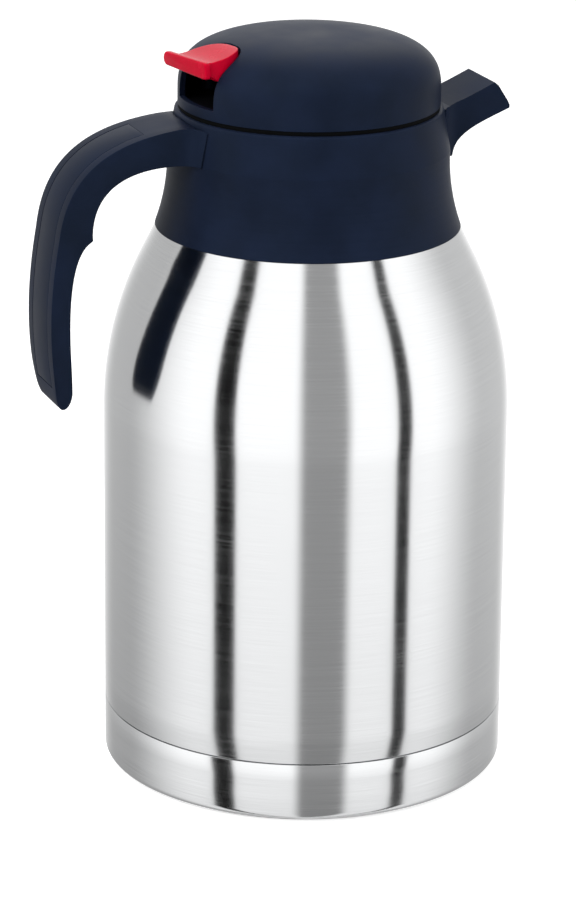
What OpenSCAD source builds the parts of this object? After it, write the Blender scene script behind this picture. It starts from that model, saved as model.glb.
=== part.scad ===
// Insulated serving jug: double-walled steel body, moulded collar with a pouring
// spout, side handle, and a screw-in lid whose thumb lever lifts a spring-loaded valve.
// Millimetres. +Z is up, the origin is on the floor at the axis, +X points to the spout.

/* [Steel body] */
// Outer diameter of the straight side
body_d = 150.4; // [146:0.4:156]
// Height of the top of the straight side above the floor
side_top_z = 137.2; // [120:0.2:150]
// How far the top of the shoulder's cone stands out beyond the collar's waist
shoulder_margin = 3.17; // [2.6:0.01:3.6]
// Angle between the upper shoulder and the vertical
shoulder_angle = 26.6; // [25:0.1:27.4]
// Height of the straight cone above the shoulder's curve
shoulder_cone_h = 13.1; // [12:0.1:15]
// Radius that turns the shoulder into the ledge under the collar
ledge_r = 8; // [6:0.5:9]
// Distance from the collar's waist in to the neck
neck_margin = 13.6; // [12.8:0.1:14.6]
// Height of the neck above the ledge
neck_h = 17; // [16:0.2:20]
// Fillet at the foot of the neck
neck_fillet_r = 5; // [3:0.5:6]
// Sheet thickness of the outer shell
shell_wall = 0.7; // [0.5:0.05:0.9]
// Sheet thickness of the liner
liner_wall = 0.6; // [0.5:0.05:0.8]
// Empty gap between the shell and the liner along the side
vacuum_gap = 8.3; // [7:0.1:9]
// Height of the liner's floor above the floor
liner_floor_z = 22.5; // [21:0.5:26]
// Corner radius of the liner's floor
liner_corner_r = 8; // [6:1:12]

/* [Base] */
// Height of the seam between the shell and the base cap
seam_z = 23.5; // [21:0.5:28]
// Width of the groove at the seam
seam_gap = 0.4; // [0.2:0.1:0.8]
// Depth of the groove at the seam
seam_depth = 0.8; // [0.8:0.1:1.2]
// Height of the plug-in skirt below the seam
skirt_h = 8.5; // [7:0.5:10]
// Radius of the bottom edge
base_corner_r = 3; // [2:0.5:3.5]
// Distance of the rubber foot pad's edge from the body's side
pad_margin = 4.2; // [4.2:0.1:14]
// Thickness of the foot pad
pad_t = 2.4; // [2:0.2:4]
// How far the pad stands out below the base cap
pad_proud = 1; // [0.6:0.1:1.4]

/* [Collar] */
// Wall thickness of the collar
collar_wall = 2.2; // [1.8:0.1:2.6]
// How far the collar's foot reaches below the ledge
collar_overlap = 6.4; // [5:0.1:7]
// Diameter at the collar's waist
collar_waist_d = 103.2; // [102:0.2:106]
// Diameter at the collar's rim
collar_rim_d = 98.2; // [97.6:0.2:100]
// Height of the rim above the mouth of the steel neck
rim_above_lip = 20.6; // [20:0.2:24]
// Thickness of the collar's floor
collar_floor_t = 2.4; // [2:0.1:3]
// Thickness of the washer between neck and collar
neck_gasket_t = 1.6; // [1.2:0.1:2]

/* [Throat] */
// Clearance between the throat tube and the liner's neck
throat_gap = 0.4; // [0.2:0.1:0.8]
// Wall thickness of the throat tube
throat_wall = 1.3; // [1.1:0.1:1.5]
// Depth of the throat tube below the collar's floor
throat_depth = 18; // [14:0.5:20]
// Diameter of the throat's flange
throat_flange_d = 88; // [84:1:92]
// Thickness of the throat's flange
throat_flange_t = 1.8; // [1.4:0.1:2.2]

/* [Spout] */
// Width of the spout
spout_w = 24.2; // [20:0.2:26]
// Reach of the spout's lip beyond the collar's waist
spout_reach = 22.8; // [20:0.1:25]
// Wall thickness of the spout
spout_wall = 2; // [1.6:0.1:2.4]
// Fillet between the spout's sides and the collar
spout_fillet_r = 8; // [5:0.5:10]

/* [Handle] */
// Reach of the handle's back beyond the collar's waist
handle_reach = 51.5; // [46:0.1:58]
// Drop from the collar's rim to the handle's tip
handle_drop = 102.9; // [96:0.1:112]
// Width of the handle
handle_w = 27.4; // [24:0.2:30]
// Radius of the handle's long edges
handle_edge_r = 1.2; // [1:0.1:2.6]
// How much each side draws in at the tip
handle_tip_draw = 3.6; // [2:0.1:5]
// Width of the strip let into the handle's back
strip_w = 17; // [14:0.5:18.5]
// Thickness of the strip
strip_t = 1.6; // [1.2:0.1:2]
// Diameter of the handle's screws
handle_screw_d = 3; // [2.6:0.1:3.6]
// Distance between the handle's screws
handle_screw_gap = 12; // [10:0.5:14]

/* [Lid] */
// Angle of the thumb lever from the handle's plane, seen from above
lid_angle = 7; // [0:0.5:20]
// Outer diameter of the dome
dome_d = 95.7; // [95:0.1:97]
// Gap between the collar's rim and the dome
lid_gap = 1.6; // [1.2:0.1:2]
// Height of the dome's straight side
dome_side_h = 3.8; // [3:0.1:5]
// Rise of the dome above its straight side
dome_rise = 21.7; // [21.6:0.1:26]
// Roundness of the dome, where 2 is an ellipse and more is squarer
dome_power = 3.1; // [2.9:0.1:3.6]
// Wall thickness of the dome
dome_wall = 2.2; // [1.8:0.1:2.4]
// Thickness of the lid plate
plate_t = 2.2; // [1.8:0.1:2.6]
// Depth of the lid plate's skirt inside the collar
plate_skirt_h = 6.2; // [5:0.2:7]
// Room for the threads between the stopper and the throat
stopper_gap = 2; // [1.8:0.1:2.6]
// Wall thickness of the stopper tube
stopper_wall = 2.2; // [1.8:0.1:2.6]
// Depth of the stopper below the throat's flange
stopper_depth = 27.2; // [24:0.2:30]
// Thickness of the washer between stopper and throat
stopper_gasket_t = 1.8; // [1.4:0.1:2.2]
// Number of pouring windows in the stopper
window_count = 4; // [3:1:6]
// Width of a pouring window
window_w = 26; // [18:1:28]
// Number of lid screws
lid_screw_count = 4; // [4:1:4]
// Diameter of the lid screws
lid_screw_d = 2.8; // [2.4:0.1:3]
// Distance of the lid screws from the dome's edge
lid_screw_margin = 9.85; // [9.2:0.05:10.6]

/* [Thumb lever] */
// Width of the thumb lever
lever_w = 25.2; // [24:0.2:26.4]
// Distance from the axis to the lever's outer edge
lever_end_x = 49.9; // [48.6:0.1:51]
// Distance from the axis to the lever's inner edge
lever_inner_x = 31; // [30.6:0.1:33]
// Running gap around the lever in its slot
lever_gap = 0.8; // [0.4:0.05:0.9]
// Height of the band below the slot
slot_band_h = 3.7; // [3:0.1:5]
// Angle by which the thumb pad leans to one side
lever_lean = 5.2; // [0:0.1:6]
// How far the lip at the lever's outer end reaches beyond its sides
lip_reach = 5.2; // [1:0.1:5.4]
// Height of the lip
lip_h = 5; // [4:0.1:6]
// Thickness of the lip
lip_t = 2.4; // [2:0.1:2.8]
// Corner radius of the lever's inner end
lever_corner_r = 5.4; // [3:0.2:6]
// Distance from the axis to the hinge pin
pin_x = 22; // [21:0.5:23]
// Height of the hinge pin above the dome's lower edge
pin_h = 14.4; // [14:0.1:14.8]
// Diameter of the hinge pin
pin_d = 3; // [2.4:0.1:3.4]
// Wall thickness under the lever's top
lever_wall = 2.2; // [1.8:0.1:2.6]

/* [Valve] */
// Diameter of the valve stem
stem_d = 6; // [5:0.2:6.4]
// Diameter of the valve's opening
valve_port_d = 28; // [24:1:32]
// Thickness of the silicone valve washer
valve_seal_t = 1.6; // [1.2:0.1:2]
// Thickness of the valve plate
valve_plate_t = 2; // [1.6:0.1:2.4]
// Turns of the valve spring
spring_turns = 6.5; // [5:0.5:8]
// Wire diameter of the valve spring
spring_wire_d = 1; // [0.8:0.1:1.2]
// Mean diameter of the valve spring
spring_d = 10.4; // [9.6:0.1:11]

/* [Hidden] */
$fn = 96;
eps = 0.01;
// Length that runs past every solid it cuts
past = body_d;

// Clearances that the fits share
fit = 0.1;
slide_fit = 0.06;
pin_fit = 0.03;
gasket_fit = 0.03;

// Steel body, from the floor up
body_r = body_d / 2;
waist_r = collar_waist_d / 2;
neck_r = waist_r - neck_margin;
cone_foot_r = waist_r + shoulder_margin + shoulder_cone_h * tan(shoulder_angle);
shoulder_r = (body_r - cone_foot_r) / (1 - cos(shoulder_angle));
shoulder_c = [body_r - shoulder_r, side_top_z];
function radial(a) = [cos(a), sin(a)];
cone_foot = shoulder_c + shoulder_r * radial(shoulder_angle);
cone_top = cone_foot + shoulder_cone_h * [-tan(shoulder_angle), 1];
ledge_c = cone_top - ledge_r * radial(shoulder_angle);
ledge_z = ledge_c[1] + ledge_r;
lip_z = ledge_z + neck_h;
skirt_r = body_r - seam_depth;
skirt_z = seam_z - skirt_h;
pad_edge_r = body_r - pad_margin;
dish_r = body_r / 6;
dish_h = 0.6;
dish_rim_h = 4;
plug_r = 5;
groove_w = 1.5;
groove_h = 0.5;

// Liner: the same shape, set in by the gap
liner_inset = shell_wall + vacuum_gap;
liner_ledge_r = 6;
liner_cone_h = shoulder_cone_h - 1.7;
liner_neck_r = neck_r - 1.8;
liner_r = body_r - liner_inset;
liner_turn_z = liner_floor_z + liner_corner_r;

// Collar and throat
floor_z = lip_z + neck_gasket_t;
throat_seat_z = floor_z + collar_floor_t;
throat_top_z = throat_seat_z + throat_flange_t;
rim_z = lip_z + rim_above_lip;
waist_z = floor_z + 1;
rim_r = collar_rim_d / 2;
rim_edge_r = 1.2;
foot_z = ledge_z - collar_overlap;
foot_proud = 0.35;
foot_r = cone_foot[0] - (foot_z - cone_foot[1]) * tan(shoulder_angle) + foot_proud;
throat_r = liner_neck_r - liner_wall - throat_gap;
bead_r = 1.2;
bead_z = ledge_z + 8.6;
lock_t = 2;
lock_gap = 0.2;
lock_slit = 4;
sleeve_r = neck_r + 4.4;
sleeve_t = 2;
sleeve_lip_gap = 1.6;
lock_rise = 0.15;
lock_z = bead_z - bead_r - shell_wall / 2 - lock_t - lock_gap + lock_rise;
sleeve_z = lock_z - sleeve_t;
handle_seat_x = waist_r - collar_wall - 0.9;
handle_screw_z = rim_z - 9.5;
handle_screw_l = 15;
handle_tip_h = 19;

// Lid, from the dome's lower edge up
dome_z = rim_z + lid_gap;
dome_r = dome_d / 2;
dome_curve_z = dome_z + dome_side_h;
lid_screw_r = dome_r - lid_screw_margin;
plate_top_z = dome_z + plate_t;
skirt_out_r = rim_r - rim_edge_r - collar_wall + 0.45;
stopper_r = throat_r - throat_wall - stopper_gap;
stopper_z = throat_top_z - stopper_depth;
stopper_flange_z = throat_top_z + stopper_gasket_t;
stopper_flange_t = 1.6;
cage_z = stopper_flange_z + stopper_flange_t;
stopper_floor_t = 2.4;
stopper_head_t = 2.2;
stopper_head_r = lid_screw_r + 4.5;
seat_z = stopper_z + stopper_floor_t + 1.2;
screw_head_r = 2.8;
screw_head_t = 1.8;
lid_screw_reach = 9;

// Thumb lever and valve
pin_z = dome_z + pin_h;
pin_r = pin_d / 2;
lever_hub_r = pin_r + 1.9;
lever_hub_w = 19.6;
post_t = 4;
slot_z = dome_z + slot_band_h;
lever_top_h = 9.2;
pad_r = 2;
pad_z = pin_z - 0.4;
cap_z = pad_z + pad_r + 0.2;
stem_r = stem_d / 2;
boss_r = 7;
guide_h = 3.4;
post_gap = 0.4;
post_half = 4;
boss_z = dome_z - 4.6;
stem_flange_z = seat_z + valve_seal_t + valve_plate_t;
stem_flange_t = 1.2;

// ---- Shared functions and shapes ----

// Points along an arc about c
function arc(c, r, a0, a1, n) = [for (i = [0:n]) c + r * radial(a0 + (a1 - a0) * i / n)];

// Points along a cubic curve, leaving out the first few
function curve(p, n, first = 0) = [for (i = [first:n])
    let (t = i / n, s = 1 - t)
    s * s * s * p[0] + 3 * s * s * t * p[1] + 3 * s * t * t * p[2] + t * t * t * p[3]];

function reversed(v) = [for (i = [len(v) - 1:-1:0]) v[i]];

function from_to(v, a, b) = [for (i = [a:b]) v[i]];

// Unit normal on the right of the way along v at point i
function side_normal(v, i) =
    let (a = v[max(i - 1, 0)], b = v[min(i + 1, len(v) - 1)], d = (b - a) / norm(b - a))
    [d[1], -d[0]];

// A line of points moved sideways by d, to the right of its way
function moved_aside(v, d) = [for (i = [0:len(v) - 1]) v[i] + d * side_normal(v, i)];

module ring(r_out, r_in, h) {
    difference() {
        cylinder(r = r_out, h = h);
        translate([0, 0, -eps]) cylinder(r = r_in, h = h + 2 * eps);
    }
}

// Extrudes an outline drawn in X and Z across the middle plane
module across(w) {
    rotate([90, 0, 0]) linear_extrude(height = w, center = true) children();
}

// Parts of the lid are drawn with the lever at -X and then turned
module lid_frame() {
    rotate([0, 0, lid_angle]) children();
}

module at_lid_screws() {
    for (i = [0:lid_screw_count - 1])
        rotate([0, 0, 45 + i * 360 / lid_screw_count])
            translate([lid_screw_r, 0, 0]) children();
}

// ---- Steel body ----

// Steps of the shoulder's curve, after which comes the cone's top
shoulder_steps = 16;
cone_top_i = shoulder_steps + 1;

// Half outline of the body from the side to the neck's top, set in by d
function body_half(d, turn_r, cone_h, neck, fillet, top_z) =
    let (c = shoulder_c, r = shoulder_r - d,
        foot = c + r * radial(shoulder_angle),
        top = foot + cone_h * [-tan(shoulder_angle), 1],
        turn_c = top - turn_r * radial(shoulder_angle),
        f = min(fillet, turn_c[0] - neck))
    concat(arc(c, r, 0, shoulder_angle, shoulder_steps),
        arc(turn_c, turn_r, shoulder_angle, 90, 6),
        arc([neck + f, turn_c[1] + turn_r + f], f, 270, 180, 5),
        [[neck, top_z]]);

// Half outline of the outer shell's surface, set in by d
function shell_half(d, top_z) =
    body_half(d, ledge_r - d, shoulder_cone_h, neck_r - d, neck_fillet_r + d, top_z);

function liner_half(d) =
    body_half(liner_inset + d, liner_ledge_r - d, liner_cone_h, liner_neck_r - d, neck_fillet_r + d, lip_z);

module outer_shell() {
    top = lip_z - liner_wall;
    color("silver") {
        rotate_extrude() polygon(concat(
            [[skirt_r, skirt_z], [skirt_r, seam_z], [body_r, seam_z]],
            shell_half(0, top),
            reversed(shell_half(shell_wall, top)),
            [[body_r - shell_wall, seam_z + shell_wall],
                [skirt_r - shell_wall, seam_z + shell_wall],
                [skirt_r - shell_wall, skirt_z]]));
        rotate_extrude() polygon(arc([neck_r - shell_wall / 2, bead_z], bead_r + shell_wall / 2, -90, 90, 10));
    }
}

// Side of the liner, between the welds to its floor and its shoulder
module inner_liner() {
    color("gainsboro") translate([0, 0, liner_turn_z])
        ring(liner_r, liner_r - liner_wall, side_top_z - liner_turn_z);
}

module liner_floor() {
    z_in = liner_floor_z + liner_wall;
    turn_c = [liner_r - liner_corner_r, liner_turn_z];
    color("gainsboro") rotate_extrude() polygon(concat(
        [[0, liner_floor_z]],
        arc(turn_c, liner_corner_r, -90, 0, 8),
        arc(turn_c, liner_corner_r - liner_wall, 0, -90, 8),
        [[0, z_in]]));
}

// Shoulder of the liner, up to the cone's top
module liner_shoulder() {
    color("gainsboro") rotate_extrude() polygon(concat(
        from_to(liner_half(0), 0, cone_top_i),
        reversed(from_to(liner_half(liner_wall), 0, cone_top_i))));
}

// Neck of the liner, welded to its shoulder and rolled over the shell's lip
module liner_neck() {
    outside = liner_half(0);
    inside = liner_half(liner_wall);
    color("gainsboro") rotate_extrude() polygon(concat(
        from_to(outside, cone_top_i, len(outside) - 2),
        [[liner_neck_r, lip_z - liner_wall], [neck_r, lip_z - liner_wall], [neck_r, lip_z]],
        reversed(from_to(inside, cone_top_i, len(inside) - 1))));
}

// Welded dish that closes the gap
module shell_bottom() {
    r = skirt_r - shell_wall - slide_fit;
    z = skirt_z + dish_h;
    color("darkgray") rotate_extrude() polygon([
        [0, z], [dish_r - 4 * dish_h, z], [dish_r, skirt_z], [r, skirt_z], [r, skirt_z + dish_rim_h],
        [r - shell_wall, skirt_z + dish_rim_h], [r - shell_wall, skirt_z + shell_wall],
        [dish_r, skirt_z + shell_wall], [dish_r - 4 * dish_h, z + shell_wall], [0, z + shell_wall]]);
}

// Solder plug over the hole through which the gap was emptied
module vacuum_plug() {
    color("dimgray") translate([0, 0, skirt_z - dish_h])
        cylinder(r1 = plug_r - 1, r2 = plug_r + 1, h = 2 * dish_h);
}

// ---- Base ----

module base_cap() {
    z0 = pad_proud;
    corner_turn = 50;
    seat_r = pad_edge_r + 0.2;
    flat_r = body_r - base_corner_r;
    r_in = body_r - shell_wall;
    color("silver") rotate_extrude() polygon(concat(
        [[0, pad_t], [seat_r, pad_t], [seat_r, z0]],
        arc([flat_r, z0 + base_corner_r], base_corner_r, -90, 0, 6),
        [[body_r, seam_z - seam_gap], [r_in, seam_z - seam_gap]],
        reversed(arc([flat_r, z0 + base_corner_r], base_corner_r - shell_wall, -corner_turn, 0, 5)),
        [[seat_r - 1, pad_t + shell_wall], [0, pad_t + shell_wall]]));
}

module base_pad() {
    color("black") difference() {
        cylinder(r = pad_edge_r, h = pad_t);
        for (i = [0.42, 0.59, 0.76])
            translate([0, 0, -eps]) ring(pad_edge_r * i + groove_w, pad_edge_r * i, groove_h);
    }
}

// ---- Collar ----

// Half outline of the collar's outside, moved out by d
function collar_half(d) =
    let (h = waist_z - foot_z, s = foot_r - waist_r, big_r = (h * h + s * s) / (2 * s), n = 8)
    concat([for (i = [0:n])
        let (z = foot_z + h * i / n)
        [waist_r + d + big_r - sqrt(big_r * big_r - pow(waist_z - z, 2)), z]],
        [[waist_r + d, waist_z + 3]],
        arc([rim_r - rim_edge_r, rim_z - rim_edge_r], rim_edge_r + d, 10, 90, 4));

// Space inside the collar above its floor
module pour_chamber() {
    rotate_extrude() polygon([[0, throat_seat_z], [waist_r - collar_wall, throat_seat_z],
        [rim_r - collar_wall - 0.2, rim_z - 3], [rim_r - collar_wall - 0.2, rim_z + 20], [0, rim_z + 20]]);
}

// Curves of the spout, in X and Z from the waist and the rim
spout_drawn_reach = 22.5;
spout_k = spout_reach / spout_drawn_reach;
function spout_at(x, z) = [waist_r + x * spout_k, rim_z + z];
function spout_top() = curve(
    [spout_at(-1.7, -1.2), spout_at(4.9, 0.6), spout_at(10.4, 3.4), spout_at(16.5, 6.1)], 8);
function spout_under() = curve(
    [spout_at(22.5, -3.8), spout_at(10.7, -8.6), spout_at(1.1, -11.6), spout_at(0.1, -20)], 12);

module spout_side() {
    polygon(concat([spout_at(-8, -1.2)], spout_top(),
        [spout_at(18, 4.8), spout_at(21.7, -1), spout_at(22.5, -2.7)],
        spout_under(), [spout_at(-8, -20)]));
}

module spout_plan() {
    // The fillet's circles touch both the spout's sides and the collar
    fillet_y = spout_w / 2 + spout_fillet_r;
    fillet_x = sqrt(pow(waist_r - 1.6 + spout_fillet_r, 2) - fillet_y * fillet_y);
    difference() {
        polygon([[0, 0], [fillet_x, fillet_y], [fillet_x, -fillet_y]]);
        for (s = [-1, 1]) translate([fillet_x, s * fillet_y]) circle(r = spout_fillet_r);
    }
    translate([waist_r - 8, -spout_w / 2]) square([spout_reach + 10, spout_w]);
}

module spout_solid() {
    intersection() {
        across(past) spout_side();
        translate([0, 0, foot_z]) linear_extrude(height = past) spout_plan();
    }
}

// Way out of the pouring chamber, no lower than the collar's floor
module spout_channel() {
    under = moved_aside(spout_under(), spout_wall);
    top = moved_aside(spout_top(), spout_wall);
    end = len(under) - 1;
    intersection() {
        across(spout_w - 2 * spout_wall) polygon(concat(
            [[waist_r - 8, top[0][1] - 1.4]], top, [top[len(top) - 1] + [14, 5.6]],
            [under[0] + [6, 2.6]], under, [[waist_r - 8, under[end][1]]]));
        translate([0, -spout_w, throat_seat_z]) cube([past, 2 * spout_w, past]);
    }
}

module collar() {
    color("#1d2230") difference() {
        union() {
            difference() {
                rotate_extrude() polygon(concat([[0, foot_z]], collar_half(0), [[0, rim_z]]));
                pour_chamber();
                // Hollow below the floor, around the neck's sleeve
                rotate_extrude() polygon([[0, foot_z - 1], [foot_r + 5, foot_z - 1],
                    [foot_r - collar_wall, foot_z], [waist_r - collar_wall, waist_z - 8],
                    [waist_r - collar_wall, floor_z], [0, floor_z]]);
            }
            difference() {
                spout_solid();
                pour_chamber();
                translate([0, 0, foot_z]) cylinder(r = waist_r - collar_wall, h = floor_z - foot_z);
            }
            // Sleeve with the lip that grips the lock ring
            rotate_extrude() polygon([[sleeve_r, sleeve_z], [sleeve_r, floor_z + eps],
                [sleeve_r - sleeve_t, floor_z + eps], [sleeve_r - sleeve_t, sleeve_z + sleeve_t],
                [neck_r + sleeve_lip_gap, sleeve_z + sleeve_t], [neck_r + sleeve_lip_gap, sleeve_z]]);
        }
        translate([0, 0, floor_z - 1]) cylinder(r = throat_r + fit, h = collar_floor_t + 2);
        spout_channel();
        // The foot rests on the steel shoulder
        rotate_extrude() polygon(concat([[0, foot_z - 20], [body_r, foot_z - 20]], shell_half(-fit, lip_z)));
        for (s = [-1, 1]) at_handle_screw(s) {
            cylinder(d = handle_screw_d + 2 * fit, h = 20);
            // Flat seat for the screw's head
            translate([0, 0, -6]) cylinder(r = screw_head_r + 0.4, h = 6);
        }
    }
}

module throat_ring() {
    color("#2a2f3a") rotate_extrude() polygon([
        [throat_r - throat_wall, floor_z - throat_depth], [throat_r, floor_z - throat_depth],
        [throat_r, throat_seat_z], [throat_flange_d / 2, throat_seat_z],
        [throat_flange_d / 2, throat_top_z], [throat_r - throat_wall, throat_top_z]]);
}

module neck_gasket() {
    color("white") translate([0, 0, lip_z]) ring(neck_r + 1, throat_r + fit, neck_gasket_t);
}

// Split ring that snaps under the neck's bead and holds the collar down
module neck_lock_ring() {
    color("dimgray") difference() {
        translate([0, 0, lock_z]) ring(sleeve_r - sleeve_t - fit, neck_r + fit, lock_t);
        rotate([0, 0, 60]) translate([0, -lock_slit / 2, lock_z - 1]) cube([body_r, lock_slit, lock_t + 2]);
    }
}

// ---- Handle ----

// Curves of the handle in X and Z, as shares of its reach from the waist and its drop from the rim
function handle_at(x, z) = [-waist_r - x * handle_reach, rim_z + z * handle_drop];

// Back of the handle, from the root to the middle of the tip
function handle_back() = concat(
    curve([handle_at(-0.072, -0.012), handle_at(0.583, -0.031),
        handle_at(0.88, -0.146), handle_at(0.94, -0.386)], 12),
    curve([handle_at(0.94, -0.386), handle_at(0.99, -0.524),
        handle_at(1.037, -0.718), handle_at(0.963, -0.935)], 10, 1),
    curve([handle_at(0.963, -0.935), handle_at(0.953, -0.966),
        handle_at(0.934, -1), handle_at(0.897, -1)], 4, 1));

// Front of the handle, from the root past the finger notch to the middle of the tip
function handle_front() = concat(
    curve([handle_at(-0.031, -0.149), handle_at(0.513, -0.129),
        handle_at(0.684, -0.234), handle_at(0.693, -0.367)], 9),
    [handle_at(0.691, -0.387)],
    curve([handle_at(0.709, -0.394), handle_at(0.828, -0.43),
        handle_at(0.9, -0.583), handle_at(0.84, -0.938)], 11),
    curve([handle_at(0.84, -0.938), handle_at(0.84, -0.974),
        handle_at(0.864, -1), handle_at(0.897, -1)], 4, 1));

// Half the handle's width at height z: it draws in towards the tip
function handle_half_w(z) =
    let (s = max(0, 1 - (z - rim_z + handle_drop) / handle_tip_h))
    handle_w / 2 - handle_tip_draw * s * s;

// Skin of the handle: the side outline, drawn in round the long edges
module handle_skin() {
    back = handle_back();
    front = handle_front();
    loop = concat(back, reversed([for (i = [0:len(front) - 2]) front[i]]));
    n = len(loop);
    turns = [-90, -60, -30, 0, 0, 30, 60, 90];
    last = len(turns) - 1;
    function loop_normal(i) =
        let (d = loop[(i + 1) % n] - loop[(i + n - 1) % n], u = d / norm(d)) [-u[1], u[0]];
    points = [for (k = [0:last]) for (i = [0:n - 1])
        let (a = turns[k], side = k * 2 < last ? -1 : 1,
            q = loop[i] + handle_edge_r * (1 - cos(a)) * loop_normal(i),
            y = side * (handle_half_w(loop[i][1]) - handle_edge_r) + handle_edge_r * sin(a))
        [q[0], y, q[1]]];
    walls = [for (k = [0:last - 1]) for (i = [0:n - 1])
        let (j = (i + 1) % n)
        [k * n + i, k * n + j, (k + 1) * n + j, (k + 1) * n + i]];
    // The caps are ladders from the back to the front
    rungs = len(back) - 1;
    caps = [for (k = [0, last]) for (i = [0:rungs - 1])
        let (a = k * n + i, b = k * n + i + 1,
            c = k * n + (n - 1 - i) % n, d = k * n + (n - 2 - i) % n)
        k == 0 ? (i == rungs - 1 ? [a, c, b] : [a, c, d, b]) : (i == rungs - 1 ? [a, b, c] : [a, b, d, c])];
    polyhedron(points = points, faces = concat(walls, caps));
}

// Part of the back that carries the strip
function strip_line() = let (b = handle_back()) [for (i = [4:23]) b[i]];

module strip_shape(outside, inside) {
    line = strip_line();
    polygon(concat(moved_aside(line, outside), reversed(moved_aside(line, inside))));
}

module handle() {
    color("#1d2230") difference() {
        handle_skin();
        across(strip_w + 2 * fit) strip_shape(1.5, -strip_t - fit);
        rotate_extrude() polygon(concat([[0, foot_z]], collar_half(slide_fit), [[0, rim_z + slide_fit]]));
        for (s = [-1, 1]) at_handle_screw(s) cylinder(d = handle_screw_d + 2 * pin_fit, h = handle_screw_l + 1);
    }
}

module handle_strip() {
    color("#242a38") across(strip_w) strip_shape(0, -strip_t);
}

// Screw axes, from the seats inside the collar outwards into the handle's root
module at_handle_screw(s) {
    translate([-handle_seat_x, s * handle_screw_gap / 2, handle_screw_z]) rotate([0, -90, 0]) children();
}

module handle_screws() {
    color("silver") for (s = [-1, 1]) at_handle_screw(s) {
        translate([0, 0, -screw_head_t]) cylinder(r = screw_head_r, h = screw_head_t);
        translate([0, 0, -eps]) cylinder(d = handle_screw_d, h = handle_screw_l);
    }
}

// ---- Lid ----

// Half outline of the dome, set in by d
function dome_half(d, n) = concat(
    [[dome_r - d, dome_z]],
    [for (i = [0:n])
        let (a = 90 * i / n, p = 2 / dome_power)
        [(dome_r - d) * pow(cos(a), p), dome_curve_z + (dome_rise - d) * pow(sin(a), p)]]);

module dome_solid(d) {
    rotate_extrude() polygon(concat([[0, dome_z]], dome_half(d, 24)));
}

// Plan of the lever and of its slot: g widens it all round
module lever_plan(g) {
    r = lever_corner_r + g;
    half = lever_w / 2 + g;
    inner = lever_inner_x - g;
    translate([-lever_end_x - 12, -half]) square([lever_end_x + 12 - inner - r, 2 * half]);
    translate([-lever_end_x - 12, -half + r]) square([lever_end_x + 12 - inner, 2 * (half - r)]);
    for (s = [-1, 1]) translate([-inner - r, s * (half - r)]) circle(r = r);
}

module lid_dome() {
    color("#1d2230") lid_frame() difference() {
        union() {
            difference() {
                dome_solid(0);
                translate([0, 0, -eps]) dome_solid(dome_wall);
            }
            // Screw bosses that stand on the lid plate
            intersection() {
                dome_solid(dome_wall / 2);
                at_lid_screws() translate([0, 0, plate_top_z]) cylinder(r = 3.6, h = dome_rise);
            }
        }
        translate([0, 0, slot_z]) linear_extrude(height = dome_rise + 5) lever_plan(lever_gap);
        at_lid_screws() translate([0, 0, plate_top_z - 1])
            cylinder(d = lid_screw_d + 2 * pin_fit, h = lid_screw_reach + 2);
    }
}

module lid_gasket() {
    color("black") translate([0, 0, rim_z]) ring(dome_r - 0.3, skirt_out_r + fit, lid_gap - gasket_fit);
}

module lid_plate() {
    bore_r = stem_r + slide_fit;
    skirt_in_r = skirt_out_r - 2.3;
    post_y = lever_hub_w / 2 + post_gap;
    color("#2a2f3a") lid_frame() difference() {
        union() {
            rotate_extrude() polygon([[bore_r, boss_z], [boss_r, boss_z], [boss_r, dome_z],
                [skirt_in_r, dome_z], [skirt_in_r, dome_z - plate_skirt_h],
                [skirt_out_r, dome_z - plate_skirt_h], [skirt_out_r, dome_z],
                [dome_r - dome_wall - 0.25, dome_z], [dome_r - dome_wall - 0.25, plate_top_z],
                [boss_r, plate_top_z], [boss_r, plate_top_z + guide_h], [bore_r, plate_top_z + guide_h]]);
            // Posts that carry the hinge pin
            for (s = [-1, 1])
                translate([-pin_x, s * (post_y + post_t / 2), plate_top_z - eps]) {
                    translate([-post_half, -post_t / 2, 0]) cube([2 * post_half, post_t, pin_z - plate_top_z]);
                    translate([0, post_t / 2, pin_z - plate_top_z]) rotate([90, 0, 0])
                        cylinder(r = post_half, h = post_t);
                }
        }
        translate([-pin_x, 0, pin_z]) rotate([90, 0, 0])
            cylinder(r = pin_r + pin_fit, h = 2 * lever_w, center = true);
        at_lid_screws() translate([0, 0, dome_z - 1]) cylinder(d = lid_screw_d + 2 * fit, h = plate_t + 2);
    }
}

// Tube that screws into the throat and closes it with its flange
module stopper_body() {
    r_in = stopper_r - stopper_wall;
    color("#3a404c") lid_frame() rotate_extrude() polygon([
        [r_in, stopper_z], [stopper_r, stopper_z], [stopper_r, stopper_flange_z],
        [stopper_r + 5, stopper_flange_z], [stopper_r + 5, cage_z], [r_in, cage_z]]);
}

// Legs between the pouring windows, with the ring that the lid's screws hold
module stopper_cage() {
    r_in = stopper_r - stopper_wall;
    head_z = dome_z - stopper_head_t;
    window_top_z = head_z - 1.6;
    color("#3a404c") lid_frame() difference() {
        rotate_extrude() polygon([[r_in, cage_z], [stopper_r, cage_z], [stopper_r, head_z],
            [stopper_head_r, head_z], [stopper_head_r, dome_z], [r_in, dome_z]]);
        for (i = [0:window_count - 1])
            rotate([0, 0, i * 360 / window_count])
                translate([0, -window_w / 2, cage_z - 1])
                    cube([stopper_r + 1, window_w, window_top_z - cage_z + 1]);
        at_lid_screws() translate([0, 0, head_z - 1]) cylinder(d = lid_screw_d + 2 * fit, h = stopper_head_t + 2);
    }
}

// Plate with the valve's opening, welded into the stopper's lower end
module valve_seat() {
    port_r = valve_port_d / 2;
    color("#3a404c") lid_frame() translate([0, 0, stopper_z]) {
        ring(stopper_r - stopper_wall, port_r, stopper_floor_t);
        ring(port_r + 2, port_r, seat_z - stopper_z);
    }
}

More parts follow.
